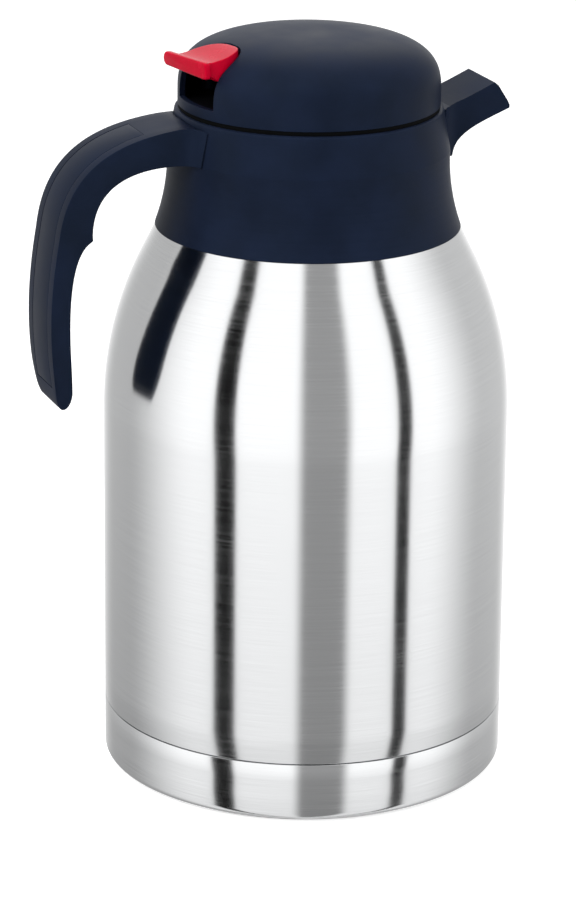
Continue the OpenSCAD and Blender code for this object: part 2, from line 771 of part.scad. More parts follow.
module stopper_gasket() {
    color("white") translate([0, 0, throat_top_z]) ring(stopper_r + 4.6, stopper_r + fit, stopper_gasket_t);
}

module lid_screws() {
    color("silver") lid_frame() at_lid_screws() translate([0, 0, dome_z - stopper_head_t]) {
        translate([0, 0, -screw_head_t]) cylinder(r = screw_head_r, h = screw_head_t);
        translate([0, 0, -eps]) cylinder(d = lid_screw_d, h = stopper_head_t + plate_t + lid_screw_reach);
    }
}

// ---- Thumb lever ----

module lever_pin() {
    half = lever_hub_w / 2 + post_gap + post_t;
    color("silver") lid_frame() translate([-pin_x, half, pin_z]) rotate([90, 0, 0]) cylinder(r = pin_r, h = 2 * half);
}

// Side outline of the thumb pad in X and height above the hinge pin: the top is
// set down by d and the underside by low
module lever_side(d, low) {
    h = lever_top_h;
    end_x = -lever_end_x + 0.3;
    top = curve([[-lever_inner_x, h], [-lever_inner_x - 6, h - 0.4], [end_x + 4.6, h - 4.4], [end_x, h - 2.9]], 8);
    translate([0, pin_z]) polygon(concat([for (p = top) p - [0, d]],
        [[end_x, h - 7.7 - low], [end_x + 2.5, h - 8 - low], [end_x + 6, h - 9.7 - low], [-lever_inner_x, h - 12.2 - low]]));
}

// Leans the thumb pad to one side, about the middle of its top
module lever_leaned() {
    z = pin_z + lever_top_h - 2;
    translate([0, 0, z]) rotate([-lever_lean, 0, 0]) translate([0, 0, -z]) children();
}

// Lip across the outer end: round at both ends, and drawn in towards the pad
module lever_lip() {
    r = lip_h / 2;
    half = lever_w / 2 + lip_reach;
    flare = 1.8 * lip_t;
    translate([-lever_end_x, 0, pin_z + lever_top_h - 2.8 - r]) intersection() {
        rotate([90, 0, 90]) linear_extrude(height = flare) {
            square([2 * (half - r), lip_h], center = true);
            for (s = [-1, 1]) translate([s * (half - r), 0]) circle(r = r);
        }
        linear_extrude(height = 2 * lip_h, center = true) polygon([[0, -half], [lip_t, -half],
            [flare, 1 - lever_w / 2], [flare, lever_w / 2 - 1], [lip_t, half], [0, half]]);
    }
}

module thumb_lever() {
    prong_in = stem_r + 0.8;
    prong_w = 4.4;
    color("#c8102e") lid_frame() difference() {
        union() {
            // Thumb pad: a hollow cap with a skirt
            difference() {
                intersection() {
                    lever_leaned() across(past) lever_side(0, 0);
                    translate([0, 0, dome_z]) linear_extrude(height = 40) lever_plan(0);
                }
                intersection() {
                    lever_leaned() across(past) lever_side(lever_wall, lever_wall);
                    translate([lever_wall - lever_end_x, lever_wall - lever_w / 2, dome_z])
                        cube([lever_end_x - lever_inner_x - 2 * lever_wall, lever_w - 2 * lever_wall, 40]);
                }
            }
            lever_leaned() lever_lip();
            // Arm from the pad to the hub
            across(lever_hub_w - 1) polygon([[-lever_inner_x - 1, pin_z - 1.8], [-lever_inner_x - 1, pin_z + 5],
                [-pin_x - 1, pin_z + lever_hub_r - 0.2], [-pin_x, pin_z - lever_hub_r + 0.4]]);
            translate([-pin_x, 0, pin_z]) rotate([90, 0, 0]) cylinder(r = lever_hub_r, h = lever_hub_w, center = true);
            // Fork that straddles the valve stem and lifts its cap
            for (s = [-1, 1]) translate([0, s * (prong_in + prong_w / 2), 0]) {
                across(prong_w) polygon([[-pin_x, pin_z - 2.4], [0, pad_z - pad_r],
                    [0, pad_z + pad_r - 1.2], [-pin_x, pin_z + 2.2]]);
                translate([0, 0, pad_z]) rotate([90, 0, 0]) cylinder(r = pad_r, h = prong_w, center = true);
            }
        }
        translate([-pin_x, 0, pin_z]) rotate([90, 0, 0])
            cylinder(r = pin_r + pin_fit, h = 2 * lever_w, center = true);
    }
}

// ---- Valve ----

// Coil spring as one unbroken tube, from the stem's flange to the guide
module valve_spring() {
    sides = 6;
    steps = 16;
    wire_r = spring_wire_d / 2;
    z0 = stem_flange_z + stem_flange_t + wire_r + 0.05;
    rise = boss_z - wire_r - 0.05 - z0;
    count = ceil(spring_turns * steps);
    points = [for (i = [0:count]) for (k = [0:sides - 1])
        let (a = 360 * spring_turns * i / count, b = 360 * k / sides,
            r = spring_d / 2 + wire_r * cos(b))
        [r * cos(a), r * sin(a), z0 + rise * i / count + wire_r * sin(b)]];
    walls = [for (i = [0:count - 1]) for (k = [0:sides - 1])
        let (m = (k + 1) % sides, p = i * sides, q = p + sides)
        [p + k, q + k, q + m, p + m]];
    first = [[for (k = [0:sides - 1]) k]];
    end = [[for (k = [sides - 1:-1:0]) count * sides + k]];
    color("silver") polyhedron(points = points, faces = concat(walls, first, end));
}

module valve_stem() {
    color("gainsboro") {
        translate([0, 0, seat_z - 1.8]) cylinder(r = stem_r - 0.6, h = stem_flange_z - seat_z + 2);
        translate([0, 0, stem_flange_z]) cylinder(r = spring_d / 2 + 1.3, h = stem_flange_t);
        translate([0, 0, stem_flange_z]) cylinder(r = stem_r, h = cap_z - stem_flange_z);
        translate([0, 0, cap_z - eps]) cylinder(r = stem_r - 0.8, h = 1.6);
    }
}

module valve_seal() {
    color("white") translate([0, 0, seat_z]) ring(valve_port_d / 2 + 3.6, stem_r - 0.6 + slide_fit, valve_seal_t);
}

module valve_plate() {
    color("#3a404c") translate([0, 0, seat_z + valve_seal_t])
        ring(valve_port_d / 2 + 2.6, stem_r - 0.6 + slide_fit, valve_plate_t);
}

module valve_nut() {
    color("silver") translate([0, 0, seat_z - 2]) difference() {
        cylinder(r = 5.2, h = 2, $fn = 6);
        translate([0, 0, -1]) cylinder(r = stem_r - 0.6 + slide_fit, h = 4);
    }
}

module stem_cap() {
    color("#3a404c") translate([0, 0, cap_z]) ring(stem_r + 4.5, stem_r - 0.8 + slide_fit, 1.6);
}

outer_shell();
inner_liner();
liner_floor();
liner_shoulder();
liner_neck();
shell_bottom();
vacuum_plug();
base_cap();
base_pad();
collar();
throat_ring();
neck_gasket();
neck_lock_ring();
handle();
handle_strip();
handle_screws();
lid_gasket();
lid_dome();
lid_plate();
stopper_body();
stopper_cage();
valve_seat();
stopper_gasket();
lid_screws();
lever_pin();
thumb_lever();
valve_spring();
valve_stem();
valve_plate();
valve_seal();
valve_nut();
stem_cap();
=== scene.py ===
"""Looks of an insulated steel serving jug with a moulded collar and a press-lever lid.

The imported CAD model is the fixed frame. This script gives every node its finish, and
models anew the pieces whose form or surface needs more than the CAD solid gives.
Lengths in the classes are millimetres; meshes are written in metres.
"""

from __future__ import annotations

import logging
import math
from dataclasses import dataclass, field
from enum import Enum
from typing import Any, Iterable

import bmesh
import bpy
from mathutils import Matrix, Vector

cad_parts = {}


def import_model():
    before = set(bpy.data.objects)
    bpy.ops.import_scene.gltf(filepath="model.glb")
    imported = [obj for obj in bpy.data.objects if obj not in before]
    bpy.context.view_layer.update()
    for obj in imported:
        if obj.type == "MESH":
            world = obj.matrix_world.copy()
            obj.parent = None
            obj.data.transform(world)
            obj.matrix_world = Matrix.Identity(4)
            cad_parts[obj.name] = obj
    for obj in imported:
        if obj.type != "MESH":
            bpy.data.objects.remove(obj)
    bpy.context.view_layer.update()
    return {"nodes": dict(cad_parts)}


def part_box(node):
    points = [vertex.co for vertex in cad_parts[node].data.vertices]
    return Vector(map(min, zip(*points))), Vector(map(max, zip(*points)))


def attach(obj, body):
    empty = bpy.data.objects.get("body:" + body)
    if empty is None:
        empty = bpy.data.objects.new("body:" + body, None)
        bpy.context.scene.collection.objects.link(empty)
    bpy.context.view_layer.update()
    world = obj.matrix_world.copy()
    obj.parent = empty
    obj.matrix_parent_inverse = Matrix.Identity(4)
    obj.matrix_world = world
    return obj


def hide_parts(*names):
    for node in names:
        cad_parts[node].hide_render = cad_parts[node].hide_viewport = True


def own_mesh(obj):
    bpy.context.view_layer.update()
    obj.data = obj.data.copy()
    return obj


LOG = logging.getLogger("serving_jug")
MM = 0.001
BRUSH_MAP = "brush"
WHITE = (1.0, 1.0, 1.0, 1.0)
# The lid is screwed in until its lever stands this far from the handle
LID_ANGLE_DEG = 7.0


class Body(Enum):
    """Bodies of the CAD model that new pieces ride on."""

    JUG = "jug"
    LID = "lid"
    LEVER = "lever"


class Slot(Enum):
    """Names of the record's material slots. No piece in this script reads them."""

    STEEL = "steel"
    LINER = "liner_steel"
    BLACK = "black_plastic"
    STRIP = "black_plastic_strip"
    GREY = "grey_plastic"
    RED = "red_plastic"
    SCREW = "screw_steel"
    SPRING = "spring_steel"


def linear(hex_colour: str) -> tuple[float, float, float, float]:
    """Turns an sRGB hex value into a linear colour.

    Args:
        hex_colour: Six hex digits after a hash sign.

    Returns:
        The linear red, green, blue and an alpha of 1.
    """

    def channel(text: str) -> float:
        """Linear value of one two-digit channel."""
        c = int(text, 16) / 255
        return c / 12.92 if c <= 0.04045 else ((c + 0.055) / 1.055) ** 2.4

    digits = hex_colour.lstrip("#")
    return (channel(digits[0:2]), channel(digits[2:4]), channel(digits[4:6]), 1.0)


def add_node(
    tree: bpy.types.NodeTree,
    kind: str,
    values: dict[str | int, Any] | None = None,
    links: dict[str | int, bpy.types.NodeSocket] | None = None,
    **settings: Any,
) -> bpy.types.Node:
    """Adds a node with its settings, socket values and incoming links.

    Args:
        tree: The node tree that takes the node.
        kind: The node type's identifier.
        values: Socket values, by input name or index.
        links: Output sockets that feed the inputs, by input name or index.
        **settings: Properties set on the node itself.

    Returns:
        The new node.
    """
    node = tree.nodes.new(kind)
    for name, value in settings.items():
        setattr(node, name, value)
    for key, value in (values or {}).items():
        node.inputs[key].default_value = value
    for key, source in (links or {}).items():
        tree.links.new(source, node.inputs[key])
    return node


# ---- Finishes ----


@dataclass(frozen=True)
class Finish:
    """What every finish has: its name, two close tones and its roughness."""

    name: str
    colour: str
    roughness: float
    second: str

    def material(self) -> bpy.types.Material:
        """Builds the material.

        Returns:
            The material, or the one of that name that was built before.
        """
        known = bpy.data.materials.get(self.name)
        if known is not None:
            return known
        made = bpy.data.materials.new(self.name)
        made.use_nodes = True
        tree = made.node_tree
        tree.nodes.clear()
        shader = add_node(
            tree,
            "ShaderNodeBsdfPrincipled",
            {"Base Color": linear(self.colour), "Roughness": self.roughness},
        )
        self.dress(tree, shader)
        add_node(
            tree, "ShaderNodeOutputMaterial", links={"Surface": shader.outputs["BSDF"]}
        )
        made.diffuse_color = linear(self.colour)
        return made

    def dress(self, tree: bpy.types.NodeTree, shader: bpy.types.Node) -> None:
        """Adds the surface detail, which each kind of finish has its own of.

        Args:
            tree: The material's node tree.
            shader: Its shader.
        """
        raise NotImplementedError

    def noise(
        self,
        tree: bpy.types.NodeTree,
        size_mm: tuple[float, float, float],
        detail: float = 2.0,
        roughness: float = 0.5,
    ) -> bpy.types.NodeSocket:
        """Noise in the piece's own space, with a grain of a real size.

        Args:
            tree: The node tree.
            size_mm: Length of a grain along X, Y and Z.
            detail: Octaves of finer noise.
            roughness: Strength of the finer octaves.

        Returns:
            The noise's value socket.
        """
        place = add_node(tree, "ShaderNodeTexCoord")
        mapping = add_node(
            tree,
            "ShaderNodeMapping",
            {"Scale": tuple(1 / (s * MM) for s in size_mm)},
            {"Vector": place.outputs["Object"]},
        )
        made = add_node(
            tree,
            "ShaderNodeTexNoise",
            {"Scale": 1.0, "Detail": detail, "Roughness": roughness},
            {"Vector": mapping.outputs["Vector"]},
        )
        return made.outputs["Fac"]

    def spread(
        self,
        tree: bpy.types.NodeTree,
        source: bpy.types.NodeSocket,
        low: float,
        high: float,
    ) -> bpy.types.NodeSocket:
        """Maps the middle of a noise value's range onto the span from low to high.

        Args:
            tree: The node tree.
            source: The noise value.
            low: Result at the lower end.
            high: Result at the upper end.

        Returns:
            The mapped value's socket.
        """
        span = {"From Min": 0.3, "From Max": 0.7, "To Min": low, "To Max": high}
        made = add_node(tree, "ShaderNodeMapRange", span, {"Value": source})
        return made.outputs["Result"]

    def two_tone(
        self,
        tree: bpy.types.NodeTree,
        shader: bpy.types.Node,
        source: bpy.types.NodeSocket,
    ) -> None:
        """Lets the colour drift between the finish's two tones.

        Args:
            tree: The node tree.
            shader: The shader that takes the colour.
            source: The noise value that the drift follows.
        """
        made = add_node(tree, "ShaderNodeMix", data_type="RGBA")
        made.inputs[6].default_value = linear(self.colour)
        made.inputs[7].default_value = linear(self.second)
        tree.links.new(self.spread(tree, source, 0.0, 1.0), made.inputs[0])
        tree.links.new(made.outputs[2], shader.inputs["Base Color"])

    def uneven(
        self,
        tree: bpy.types.NodeTree,
        shader: bpy.types.Node,
        source: bpy.types.NodeSocket,
        low: float,
        high: float,
    ) -> None:
        """Lets tone and roughness drift together, as on any moulded or drawn part.

        Args:
            tree: The node tree.
            shader: The shader that takes both.
            source: The noise value that the drift follows.
            low: Least roughness, as a share of the finish's.
            high: Most roughness, as a share of the finish's.
        """
        self.two_tone(tree, shader, source)
        top = min(1.0, self.roughness * high)
        gloss = self.spread(tree, source, self.roughness * low, top)
        tree.links.new(gloss, shader.inputs["Roughness"])


@dataclass(frozen=True)
class BrushedSteel(Finish):
    """18/10 stainless sheet brushed round its axis: fine level lines that smear a
    reflection up and down but leave its upright edges almost sharp."""

    anisotropy: float = 0.75
    quarter_turn: float = 0.25
    line_mm: float = 0.4
    streak_mm: float = 34.0
    line_depth_mm: float = 0.0016
    roughness_swing: float = 0.03
    smudge_mm: float = 38.0

    def dress(self, tree: bpy.types.NodeTree, shader: bpy.types.Node) -> None:
        """Adds brush lines, uneven gloss and the direction of the brushing.

        Args:
            tree: The material's node tree.
            shader: Its shader.
        """
        # Real brush lines are 0.05 mm apart. They are drawn 0.4 mm apart to show.
        size = (self.streak_mm, self.streak_mm, self.line_mm)
        lines = self.noise(tree, size, 3.0, 0.65)
        smudges = self.noise(tree, (self.smudge_mm,) * 3)
        self.two_tone(tree, shader, lines)
        relief = add_node(
            tree,
            "ShaderNodeBump",
            {"Strength": 1.0, "Distance": self.line_depth_mm * MM},
            {"Height": lines},
        )
        tree.links.new(relief.outputs["Normal"], shader.inputs["Normal"])
        swing = self.roughness_swing
        low, high = self.roughness - swing / 2, self.roughness + swing / 2
        total = add_node(
            tree,
            "ShaderNodeMath",
            links={
                0: self.spread(tree, smudges, low, high),
                1: self.spread(tree, lines, -swing, swing),
            },
            operation="ADD",
        )
        tree.links.new(total.outputs[0], shader.inputs["Roughness"])
        shader.inputs["Metallic"].default_value = 1.0
        shader.inputs["Anisotropic"].default_value = self.anisotropy
        shader.inputs["Anisotropic Rotation"].default_value = self.quarter_turn
        along = add_node(
            tree, "ShaderNodeTangent", direction_type="UV_MAP", uv_map=BRUSH_MAP
        )
        tree.links.new(along.outputs["Tangent"], shader.inputs["Tangent"])


@dataclass(frozen=True)
class MachinedMetal(Finish):
    """Bare metal of a small part: turned, drawn or zinc plated, evenly dull."""

    patch_mm: float = 3.0

    def dress(self, tree: bpy.types.NodeTree, shader: bpy.types.Node) -> None:
        """Adds cloudy patches to the colour and the gloss.

        Args:
            tree: The material's node tree.
            shader: Its shader.
        """
        patches = self.noise(tree, (self.patch_mm,) * 3, 3.0)
        self.uneven(tree, shader, patches, 0.8, 1.3)
        shader.inputs["Metallic"].default_value = 1.0


@dataclass(frozen=True)
class MouldedPlastic(Finish):
    """Polypropylene or ABS from a spark-eroded mould: a fine even grain that breaks
    up the gloss, slightly cloudy where the melt flowed."""

    grain_mm: float = 0.7
    grain_depth_mm: float = 0.02
    cloud_mm: float = 16.0
    edge_mm: float = 0.35
    ior: float = 1.49
    sheen_tint: str = "#ffffff"

    def dress(self, tree: bpy.types.NodeTree, shader: bpy.types.Node) -> None:
        """Adds the mould's grain, clouding and softened edges.

        Args:
            tree: The material's node tree.
            shader: Its shader.
        """
        # Real grain is 0.1 mm wide. It is drawn wider to show at all.
        grain = self.noise(tree, (self.grain_mm,) * 3, 3.0, 0.6)
        clouds = self.noise(tree, (self.cloud_mm,) * 3)
        self.uneven(tree, shader, clouds, 0.92, 1.08)
        relief = add_node(
            tree,
            "ShaderNodeBump",
            {"Strength": 1.0, "Distance": self.grain_depth_mm * MM},
            {"Height": grain},
        )
        tree.links.new(relief.outputs["Normal"], shader.inputs["Normal"])
        if self.edge_mm:
            edge = add_node(
                tree, "ShaderNodeBevel", {"Radius": self.edge_mm * MM}, samples=4
            )
            tree.links.new(edge.outputs["Normal"], relief.inputs["Normal"])
        shader.inputs["IOR"].default_value = self.ior
        shader.inputs["Specular Tint"].default_value = linear(self.sheen_tint)


@dataclass(frozen=True)
class SoftRubber(Finish):
    """Moulded silicone or rubber: dull, with a faint bloom and soft light inside."""

    bloom_mm: float = 5.0
    bloom_depth_mm: float = 0.02
    bloom_strength: float = 0.4
    inner_light: float = 0.0
    inner_light_mm: float = 1.5
    ior: float = 1.41

    def dress(self, tree: bpy.types.NodeTree, shader: bpy.types.Node) -> None:
        """Adds bloom to the colour and a soft subsurface.

        Args:
            tree: The material's node tree.
            shader: Its shader.
        """
        bloom = self.noise(tree, (self.bloom_mm,) * 3, 4.0, 0.6)
        self.uneven(tree, shader, bloom, 0.9, 1.1)
        relief = add_node(
            tree,
            "ShaderNodeBump",
            {"Strength": self.bloom_strength, "Distance": self.bloom_depth_mm * MM},
            {"Height": bloom},
        )
        tree.links.new(relief.outputs["Normal"], shader.inputs["Normal"])
        shader.inputs["IOR"].default_value = self.ior
        if self.inner_light:
            shader.inputs["Subsurface Weight"].default_value = self.inner_light
            shader.inputs["Subsurface Scale"].default_value = self.inner_light_mm * MM


# The steel mirrors the studio in upright bands with soft edges
STEEL = BrushedSteel("brushed_stainless_sheet", "#d9dadb", 0.15, "#dfe0e1")
# The inner vessel is pickled after welding and stays dull
LINER_STEEL = BrushedSteel(
    "pickled_stainless_liner",
    "#b9bbbd",
    0.34,
    "#c4c6c8",
    anisotropy=0.4,
    line_mm=0.9,
    line_depth_mm=0.006,
)
# The outer mouldings look blue-black with a weak, wide shine. A low IOR keeps their
# sides dark, as the eroded grain does on the real plastic.
BLACK = MouldedPlastic(
    "blue_black_polypropylene",
    "#111828",
    0.46,
    "#151d30",
    ior=1.19,
    sheen_tint="#c2dff0",
)
STRIP = MouldedPlastic(
    "blue_black_inlay", "#111828", 0.44, "#151d2f", ior=1.19, sheen_tint="#c2dff0"
)
# The inner mouldings are a smoother dark grey
GREY = MouldedPlastic(
    "dark_grey_polypropylene", "#343943", 0.42, "#3b404b", cloud_mm=9.0
)
# The lid plate is painted near black as painted shade for the lever's slot, so that the
# slot looks empty and dark inside
SHADE = MouldedPlastic(
    "black_polypropylene", "#0b0c0f", 0.5, "#0e0f13", ior=1.16, cloud_mm=9.0
)
# The stem is uncoloured acetal, milky white and waxy
NATURAL = MouldedPlastic(
    "natural_acetal", "#dcdcd6", 0.3, "#e3e3de", grain_depth_mm=0.006
)
# The lever is bright red, smooth enough for a soft highlight on its top
RED = MouldedPlastic(
    "gloss_red_abs",
    "#b80024",
    0.26,
    "#c1002a",
    grain_mm=1.6,
    grain_depth_mm=0.006,
    cloud_mm=7.0,
    edge_mm=0.0,
    ior=1.14,
)
SILICONE = SoftRubber("milky_silicone", "#d2d1cb", 0.5, "#dad9d4", inner_light=0.3)
RUBBER = SoftRubber("black_rubber", "#060708", 0.7, "#0a0b0c", ior=1.12)
SCREW_STEEL = MachinedMetal("zinc_plated_steel", "#b5b8bc", 0.3, "#a2a5aa")
SPRING_STEEL = MachinedMetal("drawn_spring_steel", "#9fa3a8", 0.26, "#8b8f95")
SHEET_STEEL = MachinedMetal(
    "dull_drawn_sheet", "#a5a7a9", 0.42, "#94979a", patch_mm=14.0
)
SOLDER = MachinedMetal("dull_solder", "#7b7c7e", 0.6, "#68696b", patch_mm=2.0)


# ---- Meshes ----


def cubic(p: tuple[float, ...], t: float) -> float:
    """Value of a cubic curve with four control values at t."""
    s = 1 - t
    return s**3 * p[0] + 3 * s * s * t * p[1] + 3 * s * t * t * p[2] + t**3 * p[3]


def joined(parts: Iterable[bmesh.types.BMesh]) -> bmesh.types.BMesh:
    """Puts several meshes into one.

    Args:
        parts: The meshes, which are freed.

    Returns:
        The mesh of them all.
    """
    whole = bmesh.new()
    for part in parts:
        mesh = bpy.data.meshes.new("part")
        part.to_mesh(mesh)
        part.free()
        whole.from_mesh(mesh)
        bpy.data.meshes.remove(mesh)
    return whole


def cut(bm: bmesh.types.BMesh, cutter: bmesh.types.BMesh) -> bmesh.types.BMesh:
    """Takes one closed mesh away from another.

    Args:
        bm: The mesh that is cut, which is freed.
        cutter: The mesh that is taken away, which is freed.

    Returns:
        What is left of the first mesh.
    """
    pair = []
    for name, part in (("cut_body", bm), ("cut_tool", cutter)):
        mesh = bpy.data.meshes.new(name)
        part.to_mesh(mesh)
        part.free()
        made = bpy.data.objects.new(name, mesh)
        bpy.context.scene.collection.objects.link(made)
        pair.append(made)
    body, tool = pair
    step = body.modifiers.new("cut", "BOOLEAN")
    step.operation = "DIFFERENCE"
    step.solver = "EXACT"
    step.object = tool
    graph = bpy.context.evaluated_depsgraph_get()
    left = bmesh.new()
    left.from_mesh(body.evaluated_get(graph).to_mesh())
    for made in pair:
        mesh = made.data
        bpy.data.objects.remove(made)
        bpy.data.meshes.remove(mesh)
    return left


def slice_across(
    bm: bmesh.types.BMesh, spots_mm: Iterable[float], axis: tuple[int, int, int]
) -> None:
    """Cuts edges into a mesh on planes across an axis.

    Args:
        bm: The mesh.
        spots_mm: Where the planes cross the axis.
        axis: The planes' normal.
    """
    for spot in spots_mm:
        bmesh.ops.bisect_plane(
            bm,
            geom=bm.verts[:] + bm.edges[:] + bm.faces[:],
            dist=1e-7,
            plane_co=Vector(axis) * spot * MM,
            plane_no=axis,
        )


def pulled(
    bm: bmesh.types.BMesh,
    faces: list[bmesh.types.BMFace],
    way: tuple[float, float, float],
) -> list[bmesh.types.BMVert]:
    """Extrudes faces and moves what they became.

    Args:
        bm: The mesh.
        faces: The faces.
        way: How far the new faces move, in the mesh's own unit.

    Returns:
        The new vertices.
    """
    made = bmesh.ops.extrude_face_region(bm, geom=faces)
    verts = [g for g in made["geom"] if isinstance(g, bmesh.types.BMVert)]
    bmesh.ops.translate(bm, verts=verts, vec=way)
    return verts


def rounded(
    bm: bmesh.types.BMesh,
    edges: list[bmesh.types.BMEdge],
    radius: float,
    segments: int = 4,
    clamp: bool = False,
) -> bmesh.types.BMesh:
    """Rounds edges.

    Args:
        bm: The mesh.
        edges: The edges.
        radius: The rounding, in the mesh's own unit.
        segments: Number of faces across it.
        clamp: Whether it stops where two roundings meet.

    Returns:
        The same mesh.
    """
    bmesh.ops.bevel(
        bm,
        geom=edges,
        offset=radius,
        offset_type="OFFSET",
        segments=segments,
        profile=0.5,
        affect="EDGES",
        material=-1,
        clamp_overlap=clamp,
    )
    return bm


def ridges(bm: bmesh.types.BMesh, degrees: float) -> list[bmesh.types.BMEdge]:
    """Edges of a closed mesh that turn by more than an angle."""
    limit = math.radians(degrees)
    return [e for e in bm.edges if e.calc_face_angle(0.0) > limit]


@dataclass
class Outline:
    """Half outline in the X-Z plane, drawn by moving and spinning one vertex."""

    bm: bmesh.types.BMesh = field(default_factory=bmesh.new)
    tip: bmesh.types.BMVert | None = None

    def start(self, r: float, z: float) -> Outline:
        """Puts the first point at radius r and height z."""
        self.tip = self.bm.verts.new((r * MM, 0.0, z * MM))
        return self

    def line(self, r: float, z: float, steps: int = 1) -> Outline:
        """Draws a straight run from the tip.

        Args:
            r: Radius of its end.
            z: Height of its end.
            steps: Number of equal segments.

        Returns:
            The outline itself.
        """
        begin = self.tip.co.copy()
        end = Vector((r * MM, 0.0, z * MM))
        for i in range(1, steps + 1):
            made = bmesh.ops.extrude_vert_indiv(self.bm, verts=[self.tip])
            self.tip = made["verts"][0]
            self.tip.co = begin.lerp(end, i / steps)
        return self

    def curve(self, points: Iterable[tuple[float, float]], steps: int) -> Outline:
        """Draws a cubic curve from the tip.

        Args:
            points: Its other three control points, each a radius and a height.
            steps: Number of segments.

        Returns:
            The outline itself.
        """
        first = (self.tip.co.x / MM, self.tip.co.z / MM)
        for i in range(1, steps + 1):
            self.line(*(cubic(axis, i / steps) for axis in zip(first, *points)))
        return self

    def arc(self, r: float, z: float, degrees: float, steps: int) -> Outline:
        """Turns the tip about the point at radius r and height z.

        Args:
            r: Radius of the turning point.
            z: Height of the turning point.
            degrees: Turn from +X towards +Z.
            steps: Number of segments.

        Returns:
            The outline itself.
        """
        made = bmesh.ops.spin(
            self.bm,
            geom=[self.tip],
            cent=(r * MM, 0, z * MM),
            axis=(0, 1, 0),
            angle=-math.radians(degrees),
            steps=steps,
            use_merge=False,
            use_duplicate=False,
        )
        self.tip = next(
            g for g in made["geom_last"] if isinstance(g, bmesh.types.BMVert)
        )
        return self

    def filled(self) -> bmesh.types.BMesh:
        """Closes the outline and fills it.

        Returns:
            A mesh of one face.
        """
        bm = self.bm
        bm.verts.ensure_lookup_table()
        bmesh.ops.contextual_create(bm, geom=[bm.verts[0], self.tip])
        bmesh.ops.contextual_create(bm, geom=bm.edges[:])
        return bm

    def turned(self, steps: int = 192) -> bmesh.types.BMesh:
        """Spins the outline once round Z.

        Args:
            steps: Segments round the axis.

        Returns:
            The spun surface, its poles closed, with normals away from the axis.
        """
        bm = self.bm
        bmesh.ops.spin(
            bm,
            geom=bm.verts[:] + bm.edges[:],
            cent=(0, 0, 0),
            axis=(0, 0, 1),
            angle=2 * math.pi,
            steps=steps,
            use_merge=True,
            use_duplicate=False,
        )
        bmesh.ops.remove_doubles(bm, verts=bm.verts[:], dist=1e-7)
        bmesh.ops.recalc_face_normals(bm, faces=bm.faces[:])
        widest = max(bm.faces, key=lambda f: f.calc_center_median().xy.length)
        widest.normal_update()
        if widest.normal.xy.dot(widest.calc_center_median().xy) < 0:
            bmesh.ops.reverse_faces(bm, faces=bm.faces[:])
        return bm


def walled(bm: bmesh.types.BMesh, thickness_mm: float) -> bmesh.types.BMesh:
    """Gives a surface a wall, inwards where the thickness is positive."""
    bmesh.ops.solidify(bm, geom=bm.faces[:], thickness=thickness_mm * MM)
    return bm


def brush_map(mesh: bpy.types.Mesh, rows_per_m: float = 4.0) -> None:
    """Writes a map that runs once round Z in U and with the height in V.

    Args:
        mesh: The mesh that takes the map.
        rows_per_m: Growth of V over a metre of height.
    """
    layer = mesh.uv_layers.new(name=BRUSH_MAP)
    full = 2 * math.pi
    for face in mesh.polygons:
        mid = math.atan2(face.center.y, face.center.x)
        for loop in face.loop_indices:
            co = mesh.vertices[mesh.loops[loop].vertex_index].co
            angle = math.atan2(co.y, co.x) if co.xy.length > 1e-6 else mid
            angle += full * round((mid - angle) / full)
            layer.data[loop].uv = (angle / full + 0.5, co.z * rows_per_m)


def new_piece(
    name: str,
    bm: bmesh.types.BMesh,
    finish: Finish,
    body: Body,
    replaces: Iterable[str] = (),
    sharp_deg: float = 32.0,
) -> bpy.types.Object:
    """Makes an object of a bmesh, dresses it and ties it to its body.

    Args:
        name: The piece's name.
        bm: The finished mesh, which is freed.
        finish: The surface finish.
        body: The CAD body that it rides on.
        replaces: CAD nodes that it stands for.
        sharp_deg: Edges that turn by more than this stay sharp.

    Returns:
        The new object.
    """
    limit = math.radians(sharp_deg)
    for face in bm.faces:
        face.smooth = True
    for edge in bm.edges:
        edge.smooth = len(edge.link_faces) == 2 and edge.calc_face_angle(0.0) < limit
    mesh = bpy.data.meshes.new(name)
    bm.to_mesh(mesh)
    bm.free()
    if isinstance(finish, BrushedSteel):
        brush_map(mesh)
    mesh.materials.append(finish.material())
    piece = bpy.data.objects.new(name, mesh)
    bpy.context.scene.collection.objects.link(piece)
    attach(piece, body.value)
    if replaces:
        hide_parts(*replaces)
    LOG.info(
        "%s: %d faces, rides on %s, replaces %s",
        name,
        len(mesh.polygons),
        body.value,
        ", ".join(replaces) or "nothing",
    )
    return piece


@dataclass
class SubAssembly:
    """A group of pieces that is built and dressed together."""

    nodes: dict[str, bpy.types.Object]

    def dress_nodes(self, finishes: dict[str, Finish]) -> None:
        """Gives CAD nodes that stay their material.

        Args:
            finishes: The finish of each node, by the node's name.
        """
        for name, finish in finishes.items():
            for place in self.nodes[name].material_slots:
                place.material = finish.material()
            LOG.info("%s: CAD node in %s", name, finish.name)


